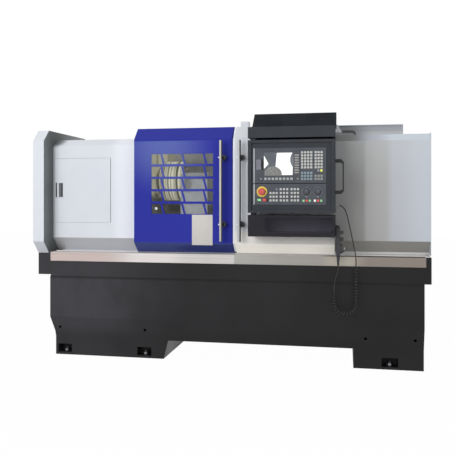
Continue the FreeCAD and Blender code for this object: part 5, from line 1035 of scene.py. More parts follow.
@dataclass(frozen=True)
class Skin:
    """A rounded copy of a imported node, for sheet and castings whose corners catch the light."""
    node: str
    edge: float = 1.2 * MM
    segments: int = 2
    corner: float = 28.0
    sharpest: float = 50.0
    weld: float = 0.002 * MM
    flat: float = 0.6

    def make(self, finish: bpy.types.Material, slot: str,
             parts: Sequence[tuple[bpy.types.Material, Test]] = ()) -> bpy.types.Object:
        """Copy the node's mesh, merge it, round its corners and hide the node.

        Args:
            finish: The copy's material.
            slot: Not used.
            parts: Other materials, each with the test of a face's middle that picks its faces.

        Returns:
            The rounded copy, which rides on the node's body.
        """
        source = frame["nodes"][self.node]
        mesh = bmesh.new()
        mesh.from_mesh(source.data)
        bmesh.ops.remove_doubles(mesh, verts=mesh.verts[:], dist=self.weld)
        bmesh.ops.dissolve_limit(mesh, angle_limit=math.radians(self.flat), verts=mesh.verts[:],
                                 edges=mesh.edges[:])
        chosen = [e for e in mesh.edges if len(e.link_faces) == 2
                  and e.calc_face_angle(0.0) > math.radians(self.corner)]
        round_edges(mesh, chosen, self.edge, self.segments, loop_slide=True)
        for face in mesh.faces:
            middle = face.calc_center_median()
            for index, (_, belongs) in enumerate(parts, 1):
                if belongs(middle):
                    face.material_index = index
        shade(mesh, self.sharpest)
        data = close_mesh(mesh, self.node + "_skin")
        piece = place_object(self.node + "_skin", data)
        for material in [finish] + [part[0] for part in parts]:
            data.materials.append(material)
        tidy = piece.modifiers.new("weighted", "WEIGHTED_NORMAL")
        tidy.keep_sharp = True
        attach(piece, source["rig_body"])
        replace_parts(piece, self.node)
        LOG.info("%s: %d faces", piece.name, len(data.polygons))
        return piece


def dress(node: str, finish: bpy.types.Material) -> None:
    """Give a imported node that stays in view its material.

    Args:
        node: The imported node.
        finish: Its material.
    """
    target = frame["nodes"][node]
    target.data.materials.clear()
    target.data.materials.append(finish)
    LOG.info("%s: %s", node, finish.name)


def hexagon(centre: Sequence[float], across: float, axis: int) -> list[list[float]]:
    """Corners of a hexagon square to an axis.

    Args:
        centre: Its middle.
        across: Distance from the middle to a corner.
        axis: Number of the axis that it is square to.

    Returns:
        Six points.
    """
    first, second = [i for i in range(3) if i != axis]
    corners = []
    for step in range(6):
        point = list(centre)
        point[first] += across * math.cos(step * math.pi / 3)
        point[second] += across * math.sin(step * math.pi / 3)
        corners.append(point)
    return corners


@dataclass
class Assembly:
    """A group of pieces that take their looks from the machine's finishes."""
    finishes: Finishes

    def skin(self, node: str, finish: str, slot: str, edge: float, segments: int = 2,
             parts: Sequence[tuple[str, Test]] = ()) -> None:
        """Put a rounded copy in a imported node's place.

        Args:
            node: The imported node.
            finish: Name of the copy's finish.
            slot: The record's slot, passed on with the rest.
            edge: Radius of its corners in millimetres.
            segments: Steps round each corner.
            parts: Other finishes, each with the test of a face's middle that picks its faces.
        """
        others = [(self.finishes[name], belongs) for name, belongs in parts]
        Skin(node, edge * MM, segments).make(self.finishes[finish], slot, others)

    def add(self, shape: Shape, name: str, body: str, finish: str, slot: str, replaced: str = "",
            smooth: float = 35.0) -> None:
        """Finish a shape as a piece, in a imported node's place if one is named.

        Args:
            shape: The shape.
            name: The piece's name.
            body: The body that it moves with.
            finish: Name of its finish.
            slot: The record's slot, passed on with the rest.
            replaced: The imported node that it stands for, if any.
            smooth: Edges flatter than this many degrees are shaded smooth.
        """
        piece = shape.finish(name, body, self.finishes[finish], slot, smooth)
        if replaced:
            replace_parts(piece, replaced)


# ---------------------------------------------------------------- base, tray and sill
@dataclass
class Stand(Assembly):
    """Base casting, chip tray, stainless sill and jacking bolts."""
    bolt_head: float = 17.0 * MM
    bolt_rise: float = 16.0 * MM
    bolt_shank: float = 10.0 * MM
    sole: float = 15.0 * MM
    thread_pitch: float = 1.6 * MM
    thread_depth: float = 0.9 * MM
    thread_turns: int = 9
    rim_height: float = 682.0 * MM
    shelf_height: float = 678.3 * MM
    lip_back: float = -300.0 * MM
    return_front: float = -360.0 * MM
    return_back: float = 150.0 * MM
    outer_front: float = -245.0 * MM
    outer_width: float = 13.0 * MM

    def build(self) -> None:
        """Build the stand."""
        self.skin("base_casting", "base_charcoal", "dark_casting", 4.0, 3)
        self.skin("chip_tray", "tray_charcoal", "tray_paint", 1.5,
                  parts=[("tray_top", lambda middle: middle.z > self.rim_height)])
        self.skin("door_rail_strip", "sill_stainless", "stainless_sill", 0.8,
                  parts=[("sill_shelf", lambda middle: middle.z > self.shelf_height),
                         ("sill_lip",
                          lambda middle: middle.z > self.shelf_height and middle.y <= self.lip_back)])
        self.end_returns()
        self.bolts()

    def end_returns(self) -> None:
        """Folded returns of the sill at its right end, inside and outside the tray's wall."""
        sill, wall, top = Extent("door_rail_strip").high.x, Extent("chip_tray").high.x, self.shelf_height
        shape = Shape()
        shape.block((sill + 0.4 * MM, self.return_front, top - 4.0 * MM),
                    (wall - 4.6 * MM, self.return_back, top + 0.4 * MM), 0.4 * MM)
        shape.block((wall + 0.4 * MM, self.outer_front, top - 3.0 * MM),
                    (wall + self.outer_width, self.return_back, top + 3.6 * MM), 0.4 * MM)
        self.add(shape, "sill_end_returns", "machine", "sill_shelf", "stainless_sill")

    def bolts(self) -> None:
        """Jacking bolts with chamfered heads and threaded ends."""
        shape = Shape()
        box = Extent("leveling_bolts")
        top, root = box.high.z, self.bolt_shank - self.thread_depth
        rings = [(0.0, 0.0), (0.0, self.bolt_shank)]
        for step in range(self.thread_turns):
            at = self.sole + self.bolt_rise + step * self.thread_pitch
            if at + self.thread_pitch / 2 < top:
                rings += [(at, self.bolt_shank), (at + self.thread_pitch / 2, root)]
        rings += [(top, self.bolt_shank - 1.5 * MM), (top, 0.0)]
        for x in self.columns():
            for y in (box.low.y + self.bolt_head * 0.9, box.high.y - self.bolt_head * 0.9):
                head = hexagon((x, y, self.sole), self.bolt_head, 2)
                shape.prism(head, (0, 0, self.bolt_rise), 1.0 * MM)
                shape.lathe(rings, (x, y, 0.0), (0, 0, 1), 20)
        self.add(shape, "jacking_bolts", "machine", "zinc", "bolt_steel", "leveling_bolts")

    def columns(self) -> list[float]:
        """Places of the bolts along the bed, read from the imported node.

        Returns:
            The middle of each group of bolts, from left to right.
        """
        data = frame["nodes"]["leveling_bolts"].data
        values = sorted({round(v.co.x, 3) for v in data.vertices})
        groups: list[list[float]] = [[values[0]]]
        for value in values[1:]:
            if value - groups[-1][-1] > 0.1:
                groups.append([])
            groups[-1].append(value)
        return [(min(group) + max(group)) / 2 for group in groups]


# ---------------------------------------------------------------- inside the guard
@dataclass
class Works(Assembly):
    """Bed, headstock, spindle, chuck, carriage, tool post, tailstock and drive."""
    flange_depth: float = 14.0 * MM

    def build(self) -> None:
        """Build everything behind the doors."""
        castings = ("bed_casting", "headstock_casting", "tailstock_body", "carriage")
        skins = [(node, "cast_grey", "cast_grey", 1.5) for node in castings]
        skins += [(f"chuck_jaw_{number}", "jaw_steel", "jaw_steel", 0.8) for number in (1, 2, 3)]
        skins += [("cross_slide", "ground_steel", "machined_steel", 0.8),
                  ("tailstock_quill", "ground_steel", "machined_steel", 0.8),
                  ("spindle_motor", "motor_black", "motor_paint", 1.0),
                  ("z_servo_motor", "motor_black", "motor_paint", 1.0),
                  ("turret_head", "black_steel", "tool_post_steel", 1.0),
                  ("carriage_splash_plate", "splash_grey", "splash_steel", 0.6)]
        faced = {"headstock_casting": [("cast_cream", self.on_nose_flange)]}
        for node, finish, slot, edge in skins:
            self.skin(node, finish, slot, edge, parts=faced.get(node, []))
        bare = {"spindle": "spindle_steel", "chuck_body": "chuck_steel", "drive_belt": "belt_rubber",
                "motor_pulley": "cast_grey", "z_ballscrew": "ground_steel"}
        for node, finish in bare.items():
            dress(node, self.finishes[finish])

    def on_nose_flange(self, middle: Vector) -> bool:
        """Whether a face belongs to the headstock's flange round the spindle's nose."""
        return middle.x > Extent("headstock_casting").high.x - self.flange_depth


# ---------------------------------------------------------------- covers
@dataclass
class Covers(Assembly):
    """Fixed guards, hatch with its latch, rear wall, roof rail and cable carrier."""
    guard_inside: float = -1190.0 * MM
    roof_fold: float = 1382.5 * MM
    low_fold: float = 764.0 * MM
    low_back: float = -165.0 * MM
    end_plate: float = 1261.0 * MM
    skin_depth: float = 0.5 * MM
    wall_depth: float = 1.2 * MM
    dome_y: float = -24.0 * MM
    dome_z: float = 958.0 * MM
    dome_profile: Profile = ((0.0, 0.0), (0.0, 9.0), (6.0, 8.4), (10.0, 6.4), (13.0, 3.4), (14.0, 0.0))
    slot_reach: float = 19.0 * MM
    slot_half: float = 4.5 * MM

    def build(self) -> None:
        """Build the fixed covers."""
        self.skin("headstock_cover", "cover_white", "panel_white", 1.2,
                  parts=[("bulkhead_cream", self.on_bulkhead)])
        self.skin("hatch_door", "panel_white", "panel_white", 0.6)
        self.skin("end_guard", "panel_white", "panel_white", 1.5,
                  parts=[("guard_shade", lambda middle: middle.x > self.guard_inside)])
        self.skin("right_end_cover", "panel_grey", "panel_grey", 1.2,
                  parts=[("roof_grey", lambda middle: middle.z > self.roof_fold),
                         ("facet_grey", self.in_low_facet)])
        self.skin("rear_splash_guard", "cabinet_grey", "panel_white", 1.0,
                  parts=[("panel_inside", self.on_wall_front)])
        self.skin("roof_rail", "panel_white", "panel_white", 1.2)
        self.skin("hatch_latch", "latch_grey", "latch_steel", 0.6)
        self.skin("cable_carrier", "bracket_black", "black_bracket", 0.8)
        self.sight_dome()
        self.latch_slot()

    def on_bulkhead(self, middle: Vector) -> bool:
        """Whether a face belongs to the headstock cover's wall towards the chuck."""
        return middle.x > Extent("headstock_cover").high.x - self.skin_depth

    def on_wall_front(self, middle: Vector) -> bool:
        """Whether a face of the rear wall looks forwards or up."""
        return middle.y < Extent("rear_splash_guard").high.y - self.wall_depth

    def in_low_facet(self, middle: Vector) -> bool:
        """Whether a face belongs to the right cover's lower facet."""
        return middle.z < self.low_fold and middle.y < self.low_back and middle.x < self.end_plate

    def sight_dome(self) -> None:
        """Small white dome low on the wall towards the chuck; its finish glows as a painted highlight."""
        foot = (Extent("headstock_cover").high.x, self.dome_y, self.dome_z)
        dome = Shape().lathe(in_metres(self.dome_profile), foot, (1, 0, 0), 28)
        self.add(dome, "sight_dome", "machine", "dome_white", "panel_white")

    def latch_slot(self) -> None:
        """Narrow black sheet beside the hatch's latch, painted shade standing for its finger slot."""
        latch, front = Extent("hatch_latch"), Extent("hatch_door").low.y
        middle = latch.low.x - self.slot_reach
        slot = Shape().block((middle - self.slot_half, front - 0.25 * MM, latch.low.z - 3.0 * MM),
                             (middle + self.slot_half, front + 0.5 * MM, latch.high.z + 4.0 * MM), 0.2 * MM)
        self.add(slot, "latch_finger_slot", "hatch_door", "seal_black", "black_bracket")


# ---------------------------------------------------------------- doors
@dataclass
class Doors(Assembly):
    """Both sliding doors with window, handles and the plain white plate."""
    plate_low: Point = (-0.190, -0.3915, 0.735)
    plate_high: Point = (-0.058, -0.3900, 0.925)
    left_side: float = 66.5 * MM
    low_fold: float = 749.5 * MM
    low_back: float = -330.0 * MM
    high_fold: float = 1390.0 * MM
    foot: float = 20.0 * MM
    knob_back: float = 26.0 * MM
    pin_back: float = 3.0 * MM
    seam_gap: float = 2.0 * MM
    seam_back: float = 3.0 * MM
    seam_slope: float = 68.0 * MM
    seam_depth: float = 8.0 * MM
    knob_profile: Profile = ((0.0, 0.0), (0.0, 7.0), (9.0, 8.0), (11.0, 13.0), (14.0, 15.0), (25.0, 15.0),
                             (29.0, 12.0), (30.0, 0.0))

    def build(self) -> None:
        """Build the doors."""
        self.skin("left_door_shell", "door_blue", "door_blue", 1.3, parts=[("side_blue", self.on_left_side)])
        self.skin("right_door_shell", "door_white", "panel_white", 1.3,
                  parts=[("facet_white", self.in_low_facet)])
        dress("left_window_pane", self.finishes["window_clear"])
        for side in ("left", "right"):
            self.handle(side)
        plate = Shape().block(self.plate_low, self.plate_high, 0.4 * MM)
        self.add(plate, "blank_plate", "left_door", "white_plate", "panel_white")
        self.seam()

    def seam(self) -> None:
        """Pale sealing strip on the right door's edge, following its folds in the gap between the doors."""
        left, right = Extent("left_door_shell"), Extent("right_door_shell")
        x, front = left.high.x + self.seam_gap, left.low.y + self.seam_back
        bends = [(front + self.seam_slope, left.low.z + 8.0 * MM), (front, self.low_fold),
                 (front, self.high_fold), (front + self.seam_slope, left.high.z - 4.0 * MM)]
        outline = [(x, y, z) for y, z in bends] + [(x, y + self.seam_depth, z) for y, z in reversed(bends)]
        strip = Shape().prism(outline, (right.low.x - 0.4 * MM - x, 0, 0), 0.3 * MM)
        self.add(strip, "door_seam_strip", "right_door", "seam_white", "panel_white")

    def on_left_side(self, middle: Vector) -> bool:
        """Whether a face belongs to the left door's right-hand side wall."""
        return middle.x > self.left_side

    def in_low_facet(self, middle: Vector) -> bool:
        """Whether a face belongs to the right door's lower facet."""
        return middle.z < self.low_fold and middle.y < self.low_back

    def handle(self, side: str) -> None:
        """Tube with domed ends and two standoffs with clamp pins.

        Args:
            side: Which door, left or right.
        """
        box = Extent(side + "_handle_tube")
        centre, radius, length = box.centre, box.radius, box.high.z - box.low.z
        dome = [(0, 0), (0, radius * 0.6), (radius * 0.12, radius * 0.86), (radius * 0.35, radius)]
        profile = dome + [(length - at, wide) for at, wide in reversed(dome)]
        tube = Shape().lathe(profile, (centre.x, centre.y, box.low.z), (0, 0, 1), 48)
        self.add(tube, side + "_pull", side + "_door", "tube_" + side, "tube_stainless",
                 side + "_handle_tube")
        self.brackets(side, centre, radius)

    def brackets(self, side: str, centre: Vector, radius: float) -> None:
        """Turned standoffs behind the tube, each with a round clamp knob and a bright pin end.

        Args:
            side: Which door, left or right.
            centre: Middle of the tube.
            radius: The tube's radius.
        """
        box = Extent(side + "_handle_brackets")
        shape, pins = Shape(), Shape()
        reach = box.high.y - centre.y
        foot = [(0, 0), (0, self.foot), (4.0 * MM, self.foot), (6.0 * MM, 18.0 * MM), (9.0 * MM, 10.0 * MM),
                (14.0 * MM, 8.0 * MM), (reach - 2.0 * MM, 8.0 * MM), (reach - 1.0 * MM, 7.0 * MM),
                (reach - 1.0 * MM, 0)]
        knob = in_metres(self.knob_profile)
        pin = [(0, 0), (0, 4.5 * MM), (radius + 6.0 * MM, 4.5 * MM), (radius + 8.0 * MM, 3.0 * MM),
               (radius + 8.0 * MM, 0)]
        for z in (box.low.z + self.foot, box.high.z - self.foot):
            shape.lathe(foot, (centre.x, box.high.y, z), (0, -1, 0), 40)
            shape.lathe(knob, (centre.x, centre.y + self.knob_back, z), (1, 0, 0), 40)
            pins.lathe(pin, (centre.x, centre.y + self.pin_back, z), (-1, 0, 0), 24)
        self.add(shape, side + "_standoffs", side + "_door", "bracket_black", "black_bracket",
                 side + "_handle_brackets")
        self.add(pins, side + "_clamp_pins", side + "_door", "pin_bright", "tube_stainless")


# ---------------------------------------------------------------- console
class KeyColour(Enum):
    """Finishes of the key caps."""
    LIGHT = "key_light"
    BLUE = "key_blue"
    DULL = "key_dull"
    SOFT = "key_soft"
    GREY = "key_grey"
    LIME = "key_lime"
    RED = "lens_red"
    GREEN = "lamp_green"
    WHITE = "lamp_white"


@dataclass(frozen=True)
class KeyField:
    """A block of equal keys: columns to the right and rows downwards from the first key's middle."""
    x: float
    z: float
    columns: int
    rows: int
    pitch_x: float
    pitch_z: float
    side: float
    colour: KeyColour
    tall: float = 0.0

    def centres(self) -> list[tuple[float, float]]:
        """Middle of every key, in metres."""
        return [((self.x + c * self.pitch_x) * MM, (self.z - r * self.pitch_z) * MM)
                for c in range(self.columns) for r in range(self.rows)]


@dataclass
class Console(Assembly):
    """Operator console: hood, swinging case, display unit, machine panel, knobs and buttons."""
    panel_left: float = 226.5 * MM
    face_y: float = -584.0 * MM
    key_height: float = 1.6 * MM
    strip_width: float = 7.0 * MM
    lid_bottom: float = 1445.0 * MM
    pocket_back: float = -570.0 * MM
    pocket_left: float = 275.0 * MM
    pocket_right: float = 675.0 * MM
    pocket_top: float = 925.0 * MM
    grip_ribs: int = 18
    scale_marks: int = 15
    scale_start: float = -50.0
    scale_step: float = 20.0
    collar_profile: Profile = ((0.0, 0.0), (0.0, 31.5), (3.6, 31.5), (5.4, 29.5), (5.4, 22.0), (3.0, 12.0),
                               (3.0, 0.0))
    rib_profile: Profile = ((0.0, 0.0), (0.0, 1.1), (8.5, 1.5), (8.5, 0.0))

    def fields(self) -> list[KeyField]:
        """The keys of both panels.

        Returns:
            The key fields, then the row of indicator lamps.
        """
        light, blue, dull, grey = KeyColour.LIGHT, KeyColour.BLUE, KeyColour.DULL, KeyColour.GREY
        green, red = KeyColour.GREEN, KeyColour.RED
        fields = [KeyField(509.7, 1291.0, 4, 6, 17.35, 17.3, 12.5, light),
                  KeyField(586.8, 1291.0, 3, 6, 16.8, 17.3, 12.5, light),
                  KeyField(602.0, 1186.0, 1, 1, 17.4, 17.3, 12.5, dull),
                  KeyField(619.4, 1186.0, 1, 1, 17.4, 17.3, 12.5, KeyColour.LIME),
                  KeyField(509.7, 1172.7, 4, 3, 17.35, 17.3, 12.5, blue),
                  KeyField(586.8, 1155.4, 3, 2, 16.8, 17.3, 12.5, dull),
                  KeyField(478.5, 1276.0, 1, 8, 15.0, 14.4, 25.0, dull, 9.5),
                  KeyField(297.4, 1139.8, 8, 1, 21.6, 15.0, 14.5, KeyColour.SOFT, 14.0),
                  KeyField(270.9, 1139.8, 2, 1, 213.0, 15.0, 9.0, dull),
                  KeyField(362.5, 1079.3, 1, 1, 18.0, 21.5, 12.0, grey),
                  KeyField(326.7, 1057.4, 3, 3, 17.9, 21.4, 12.0, light),
                  KeyField(386.5, 1079.3, 3, 4, 18.5, 21.5, 12.0, light),
                  KeyField(449.5, 1079.3, 3, 4, 18.1, 21.5, 12.0, light)]
        lamps = ((517.4, green), (535.3, red), (553.2, green),
                 (582.0, KeyColour.WHITE), (600.1, red), (618.2, green))
        return fields + [KeyField(x, 1013.0, 1, 1, 18.0, 18.0, 12.0, lamp) for x, lamp in lamps]

    def build(self) -> None:
        """Build the console."""
        self.skin("console_hood", "console_charcoal", "console_paint", 1.5,
                  parts=[("console_lid", lambda middle: middle.z > self.lid_bottom)])
        self.skin("console_lower_box", "console_dark", "console_paint", 1.5,
                  parts=[("pocket_dark", self.in_pocket)])
        self.skin("console_case", "console_charcoal", "console_paint", 1.5)
        self.skin("console_grab_handle", "seal_black", "black_bracket", 1.0)
        self.skin("cable_gland", "gland_pale", "gland_nylon", 0.6)
        self.skin("usb_flap", "flap_grey", "flap_grey", 0.4)
        self.plates()
        self.screen()
        self.keys()
        self.emergency_stop()
        for node in ("feed_knob", "spindle_knob"):
            self.knob(node)
        self.buttons()

    def in_pocket(self, middle: Vector) -> bool:
        """Whether a face is the back wall of the lower box's pocket."""
        across = self.pocket_left < middle.x < self.pocket_right
        return across and middle.y > self.pocket_back and middle.z < self.pocket_top

    def plates(self) -> None:
        """Both panel plates and the silver strips at their left."""
        for node, low_z, high_z in (("display_unit", 1115.0, 1318.0), ("machine_panel", 990.0, 1111.0)):
            self.skin(node, "panel_plate", "panel_dark", 0.5)
            low = (self.panel_left, self.face_y - 1.2 * MM, low_z * MM)
            high = (self.panel_left + self.strip_width, self.face_y + 1.0 * MM, high_z * MM)
            strip = Shape().block(low, high, 0.5 * MM)
            self.add(strip, node + "_strip", "console", "strip_silver", "panel_dark")

    def screen(self) -> None:
        """The screen with its picture, and a black sheet between it and the port's flap, painted shade
        standing for a recess.
        """
        glass, flap = Extent("display_glass"), Extent("usb_flap")
        size = glass.high - glass.low
        picture = ScreenPicture("screen_picture", (66, 70, 78), tuple(glass.centre), size.x, size.z).make()
        pane = Shape().block(glass.low, glass.high, 0.5 * MM)
        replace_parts(pane.finish("screen", "console", picture, "screen_glass"), "display_glass")
        low = (flap.high.x + 0.6 * MM, self.face_y - 0.4 * MM, flap.low.z - 2.0 * MM)
        high = (glass.low.x - 1.0 * MM, self.face_y + 0.5 * MM, flap.high.z + 1.0 * MM)
        self.add(Shape().block(low, high, 0.3 * MM), "port_recess", "console", "seal_black", "panel_dark")

    def keys(self) -> None:
        """Every key cap, one piece for each colour."""
        shapes: dict[KeyColour, Shape] = {}
        for keys in self.fields():
            half = keys.side * MM / 2 + 0.2 * MM
            rise = (keys.tall or keys.side) * MM / 2 + 0.2 * MM
            for x, z in keys.centres():
                low = (x - half, self.face_y - self.key_height - 0.7 * MM, z - rise)
                high = (x + half, self.face_y + 0.5 * MM, z + rise)
                shapes.setdefault(keys.colour, Shape()).block(low, high, 1.2 * MM)
        for colour, shape in shapes.items():
            self.add(shape, "keys_" + colour.value, "console", colour.value, "panel_dark")

    def buttons(self) -> None:
        """Start and stop buttons, and the guard beside the second."""
        for node, finish, slot in (("start_button", "lens_green", "start_green"),
                                   ("stop_button", "lens_red", "stop_red")):
            box = Extent(node)
            self.add(Shape().block(box.low, box.high, 1.5 * MM, 3), node + "_cap", node, finish, slot, node)
        low = (box.high.x + 0.8 * MM, self.face_y - 3.0 * MM, box.low.z - 1.0 * MM)
        high = (box.high.x + 10.0 * MM, self.face_y + 0.5 * MM, box.high.z + 1.0 * MM)
        guard = Shape().block(low, high, 0.5 * MM)
        self.add(guard, "stop_button_guard", "console", "seal_black", "panel_dark")

    def emergency_stop(self) -> None:
        """Domed red cap over a turned yellow collar."""
        box = Extent("estop_button")
        centre, radius, depth = box.centre, box.radius, box.high.y - box.low.y
        cap = [(0, 0), (0.3 * MM, radius * 0.45), (1.6 * MM, radius * 0.78), (4.0 * MM, radius * 0.95),
               (7.5 * MM, radius), (18.0 * MM, radius * 0.98), (20.0 * MM, radius * 0.86),
               (20.0 * MM, radius * 0.5), (depth, radius * 0.4), (depth, 0)]
        shape = Shape().lathe(cap, (centre.x, box.low.y, centre.z), (0, 1, 0), 56)
        self.add(shape, "stop_mushroom", "estop_button", "cap_red", "estop_red", "estop_button", 50.0)
        ring = in_metres(self.collar_profile)
        collar = Shape().lathe(ring, (centre.x, self.face_y, centre.z), (0, -1, 0), 56)
        self.add(collar, "stop_collar", "console", "collar_yellow", "panel_dark", smooth=50.0)

    def knob(self, node: str) -> None:
        """Override knob with a ribbed grip and a pale pointer, and tick marks round it.

        Args:
            node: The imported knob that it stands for.
        """
        box = Extent(node)
        centre, radius, depth, tip = box.centre, box.radius, box.high.y - box.low.y, box.low.y
        skirt = [(0, 0), (0, radius * 0.62), (1.2 * MM, radius * 0.74), (9.0 * MM, radius * 0.80),
                 (11.0 * MM, radius), (16.6 * MM, radius), (16.6 * MM, radius * 0.3), (depth, radius * 0.28),
                 (depth, 0)]
        rib = in_metres(self.rib_profile)
        shape = Shape().lathe(skirt, (centre.x, tip, centre.z), (0, 1, 0), 48)
        for step in range(self.grip_ribs):
            angle = step * 2 * math.pi / self.grip_ribs
            foot = centre + Vector((math.cos(angle), 0, math.sin(angle))) * radius * 0.76
            shape.lathe(rib, (foot.x, tip + 1.4 * MM, foot.z), (0, 1, 0), 8)
        self.add(shape, node + "_grip", node, "knob_grey", "knob_black", node, 50.0)
        pointer = Shape().block((centre.x - 0.9 * MM, tip - 0.3 * MM, centre.z + 3.0 * MM),
                                (centre.x + 0.9 * MM, tip + 0.8 * MM, centre.z + radius * 0.6), 0.2 * MM)
        self.add(pointer, node + "_pointer", node, "tick_grey", "knob_black")
        self.ticks(node, centre, radius)

    def ticks(self, node: str, centre: Vector, radius: float) -> None:
        """Dark bezel round a knob, radial marks on the panel and a plain pale bar below.

        Args:
            node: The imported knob.
            centre: Middle of the knob.
            radius: The knob's radius.
        """
        bezel = Shape().lathe([(0, 0), (0, radius * 1.12), (1.0 * MM, radius * 1.08), (1.0 * MM, 0)],
                              (centre.x, self.face_y, centre.z), (0, -1, 0), 48)
        self.add(bezel, node + "_bezel", "console", "seal_black", "panel_dark")
        shape = Shape()
        for step in range(self.scale_marks):
            angle = math.radians(self.scale_start + step * self.scale_step)
            outward = Vector((math.cos(angle), 0, math.sin(angle)))
            start, end = outward * radius * 1.25, outward * radius * 1.55
            side = Vector((-math.sin(angle), 0, math.cos(angle))) * 0.9 * MM
            corners = [centre + offset for offset in (start - side, end - side, end + side, start + side)]
            shape.prism([(p.x, self.face_y + 0.1 * MM, p.z) for p in corners], (0, -0.35 * MM, 0))
        low_z = centre.z - radius * 1.62
        shape.block((centre.x - 6.0 * MM, self.face_y - 0.25 * MM, low_z - 2.5 * MM),
                    (centre.x + 6.0 * MM, self.face_y + 0.1 * MM, low_z + 2.5 * MM))
        self.add(shape, node + "_scale", "console", "tick_grey", "panel_dark")


# ---------------------------------------------------------------- pendant and its cord
@dataclass
class Pendant(Assembly):
    """Hand pendant with its dial and selectors."""
    face_profile: Profile = ((0.0, 0.0), (0.0, 9.0), (3.0, 8.5), (4.0, 6.0), (4.0, 0.0))

    def build(self) -> None:
        """Build the pendant."""
        self.skin("pendant_case", "pendant_black", "pendant_plastic", 2.0, 3)
        self.skin("pendant_dial", "pendant_black", "dial_grey", 0.8)
        for node in ("pendant_axis_knob", "pendant_step_knob"):
            self.skin(node, "bracket_black", "knob_black", 0.8)
        self.dial_face()

    def dial_face(self) -> None:
        """Small silver face on the pulse dial."""
        box = Extent("pendant_dial")
        foot = (box.high.x - 0.5 * MM, box.centre.y, box.centre.z)
        shape = Shape().lathe(in_metres(self.face_profile), foot, (1, 0, 0), 32)
        self.add(shape, "pendant_dial_face", "pendant_dial", "dial_silver", "dial_grey")


@dataclass
class Cord(Assembly):
    """Curly cord from the gland to the pendant: one smooth line with a helix in its hanging loop."""
    radius: float = 3.25 * MM
    length: float = 2.02
    coil_x: float = 752.0 * MM
    coil_y: float = -440.0 * MM
    coil_bend: float = 64.0 * MM
    coil_bend_z: float = 410.0 * MM
    coil_left_top: float = 470.0 * MM
    coil_right_top: float = 630.0 * MM
    coil_radius: float = 9.0 * MM
    curls: int = 26
    steps: int = 14
    upper: tuple[Point, ...] = (
        (0.718, -0.353, 0.986), (0.742, -0.359, 0.977), (0.761, -0.373, 0.939), (0.772, -0.389, 0.892),
        (0.783, -0.405, 0.841), (0.795, -0.421, 0.784), (0.807, -0.433, 0.727), (0.816, -0.440, 0.676))
    lower: tuple[Point, ...] = (
        (0.688, -0.440, 0.512), (0.697, -0.449, 0.558), (0.71265, -0.460, 0.594), (0.71265, -0.460, 0.628))

    def middle(self, s: float) -> tuple[Vector, Vector]:
        """Point and outward normal of the coil's middle line.

        Args:
            s: Distance from its upper right end.

        Returns:
            The point and the normal in the loop's plane.
        """
        leg = self.coil_right_top - self.coil_bend_z
        angle = min(max((s - leg) / self.coil_bend, 0.0), math.pi)
        normal = Vector((math.cos(angle), 0, -math.sin(angle)))
        height = max(leg - s, 0.0) + max(s - leg - math.pi * self.coil_bend, 0.0)
        return Vector((self.coil_x, self.coil_y, self.coil_bend_z + height)) + normal * self.coil_bend, normal

    def helix(self) -> list[Vector]:
        """Points of the curls, from the upper right end round to the left end.

        Returns:
            The points, with the curls opening from and closing to the plain lead.
        """
        legs = self.coil_right_top + self.coil_left_top - 2 * self.coil_bend_z
        lead = 2 * self.radius
        pitch = (legs + math.pi * self.coil_bend - 2 * lead) / self.curls
        points = []
        for step in range(self.curls * self.steps + 1):
            turns = step / self.steps
            near_end = min(turns, self.curls - turns, 1.0)
            radius = self.coil_radius * near_end * near_end * (3 - 2 * near_end)
            angle = 2 * math.pi * turns
            point, normal = self.middle(lead + pitch * turns)
            aside = Vector((0, 1, 0)) * math.sin(angle)
            points.append(point + (normal * math.cos(angle) + aside) * radius)
        return points

    def build(self) -> None:
        """Build the cord and say what it is."""
        points = [*self.upper, self.middle(0.0)[0], *self.helix(), *self.lower]
        data = bpy.data.curves.new("pendant_cord", "CURVE")
        data.dimensions = "3D"
        data.resolution_u = 4
        data.bevel_depth = self.radius
        data.bevel_resolution = 3
        data.use_fill_caps = True
        spline = data.splines.new("NURBS")
        spline.points.add(len(points) - 1)
        for target, point in zip(spline.points, points):
            target.co = (*point, 1.0)
        spline.order_u = 3
        spline.use_endpoint_u = True
        cord = place_object("pendant_cord", data)
        data.materials.append(self.finishes["cord_rubber"])
        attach(cord, "right_door")
        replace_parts(cord, "cord_upper", "cord_curly", "cord_lower")
        LOG.info("pendant_cord: %d control points", len(points))


# ---------------------------------------------------------------- back of the machine
@dataclass
class Rear(Assembly):
    """Electrical cabinet and its door."""

    def build(self) -> None:
        """Build the rear."""
        for node in ("electrical_cabinet", "cabinet_door"):
            self.skin(node, "cabinet_grey", "cabinet_paint", 1.0)


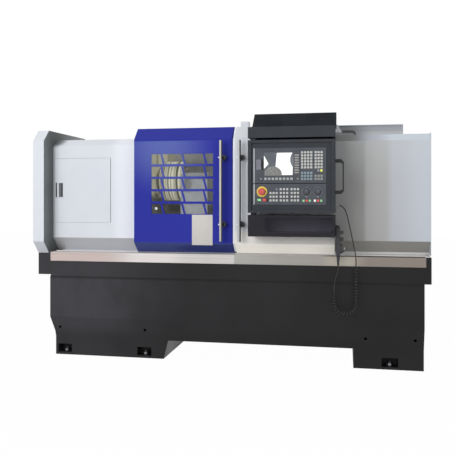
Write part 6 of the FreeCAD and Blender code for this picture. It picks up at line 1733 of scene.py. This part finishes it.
# ---------------------------------------------------------------- studio
@dataclass
class Studio:
    """Pale floor, soft lamps, white surroundings and the camera."""
    camera_at: Point = (0.752, -4.222, 1.017)
    camera_turn: float = 10.581
    lens: float = 49.77
    shift: float = -0.0604
    sensor: float = 36.0
    floor_reach: float = 14.0
    floor_white: float = 0.985
    world_light: float = 0.45

    def build(self) -> None:
        """Set the stage."""
        self.floor()
        self.world()
        self.lamp("key_lamp", (-1.5, -5.4, 2.2), (0.0, -0.3, 1.0), 3.0, 2.4, 175.0, False)
        self.lamp("fill_lamp", (2.2, -4.8, 1.8), (0.2, -0.3, 0.9), 2.4, 2.0, 20.0)
        self.lamp("top_lamp", (-0.6, -1.6, 4.0), (0.0, 0.0, 1.0), 3.2, 2.0, 18.0)
        self.camera()

    @staticmethod
    def seen(net: Net) -> Signal:
        """One for rays that show the stage itself, straight, mirrored or through the pane, else zero."""
        path = net.node("ShaderNodeLightPath", output="Is Camera Ray")
        return path.at_least(path.sibling("Is Glossy Ray")).at_least(path.sibling("Is Transmission Ray"))

    def floor(self) -> None:
        """A wide pale floor that keeps a soft shadow."""
        mesh = bmesh.new()
        bmesh.ops.create_grid(mesh, x_segments=1, y_segments=1, size=self.floor_reach)
        floor = place_object("studio_floor", close_mesh(mesh, "studio_floor"))
        net = Net(bpy.data.materials.new("pale_floor"))
        grain = net.noise(net.place(), 40.0, 2.0)
        pale = net.blend(grain, (0.50, 0.50, 0.50, 1.0), (0.54, 0.54, 0.54, 1.0))
        shaded = net.node("ShaderNodeBsdfDiffuse", None, {"Color": pale})
        white = net.node("ShaderNodeEmission", None, {"Color": (1.0, 1.0, 1.0, 1.0), "Strength": 1.0})
        share = self.seen(net) * self.floor_white
        surface = net.node("ShaderNodeMixShader", None, {0: share, 1: shaded, 2: white})
        net.node("ShaderNodeOutputMaterial", None, {"Surface": surface})
        floor.data.materials.append(net.owner)

    def world(self) -> None:
        """White for the camera and for gloss, a softer grey for the light that it gives."""
        net = Net(bpy.data.worlds.new("studio_world"))
        strength = self.seen(net).rise(0.0, 1.0, self.world_light, 1.0)
        inputs = {"Color": (1.0, 1.0, 1.0, 1.0), "Strength": strength}
        surface = net.node("ShaderNodeBackground", None, inputs)
        net.node("ShaderNodeOutputWorld", None, {"Surface": surface})
        bpy.context.scene.world = net.owner

    def lamp(self, name: str, at: Point, towards: Point, width: float, height: float, power: float,
             glossy: bool = True) -> None:
        """Add a soft rectangular lamp.

        Args:
            name: The lamp's name.
            at: Where it hangs.
            towards: The point that it faces.
            width: Its width.
            height: Its height.
            power: Its power in watts.
            glossy: Whether it shows in gloss.
        """
        data = bpy.data.lights.new(name, "AREA")
        data.shape = "RECTANGLE"
        data.size = width
        data.size_y = height
        data.energy = power
        lamp = place_object(name, data)
        lamp.location = at
        lamp.rotation_euler = (Vector(towards) - Vector(at)).to_track_quat("-Z", "Y").to_euler()
        lamp.visible_glossy = glossy

    def camera(self) -> None:
        """Level camera at the photograph's place."""
        data = bpy.data.cameras.new("photo_camera")
        data.sensor_fit = "HORIZONTAL"
        data.sensor_width = self.sensor
        data.lens = self.lens
        data.shift_y = self.shift
        camera = place_object("photo_camera", data)
        camera.location = self.camera_at
        camera.rotation_euler = (math.radians(90), 0.0, math.radians(self.camera_turn))
        bpy.context.scene.camera = camera
        bpy.context.scene.view_settings.view_transform = "Standard"


def main() -> None:
    """Build every sub-assembly in order."""
    logging.basicConfig(level=logging.INFO, format="%(name)s %(message)s")
    Studio().build()
    finishes = Finishes()
    for assembly in (Cord, Stand, Works, Covers, Doors, Console, Pendant, Rear):
        assembly(finishes).build()


if __name__ == "__main__":
    main()
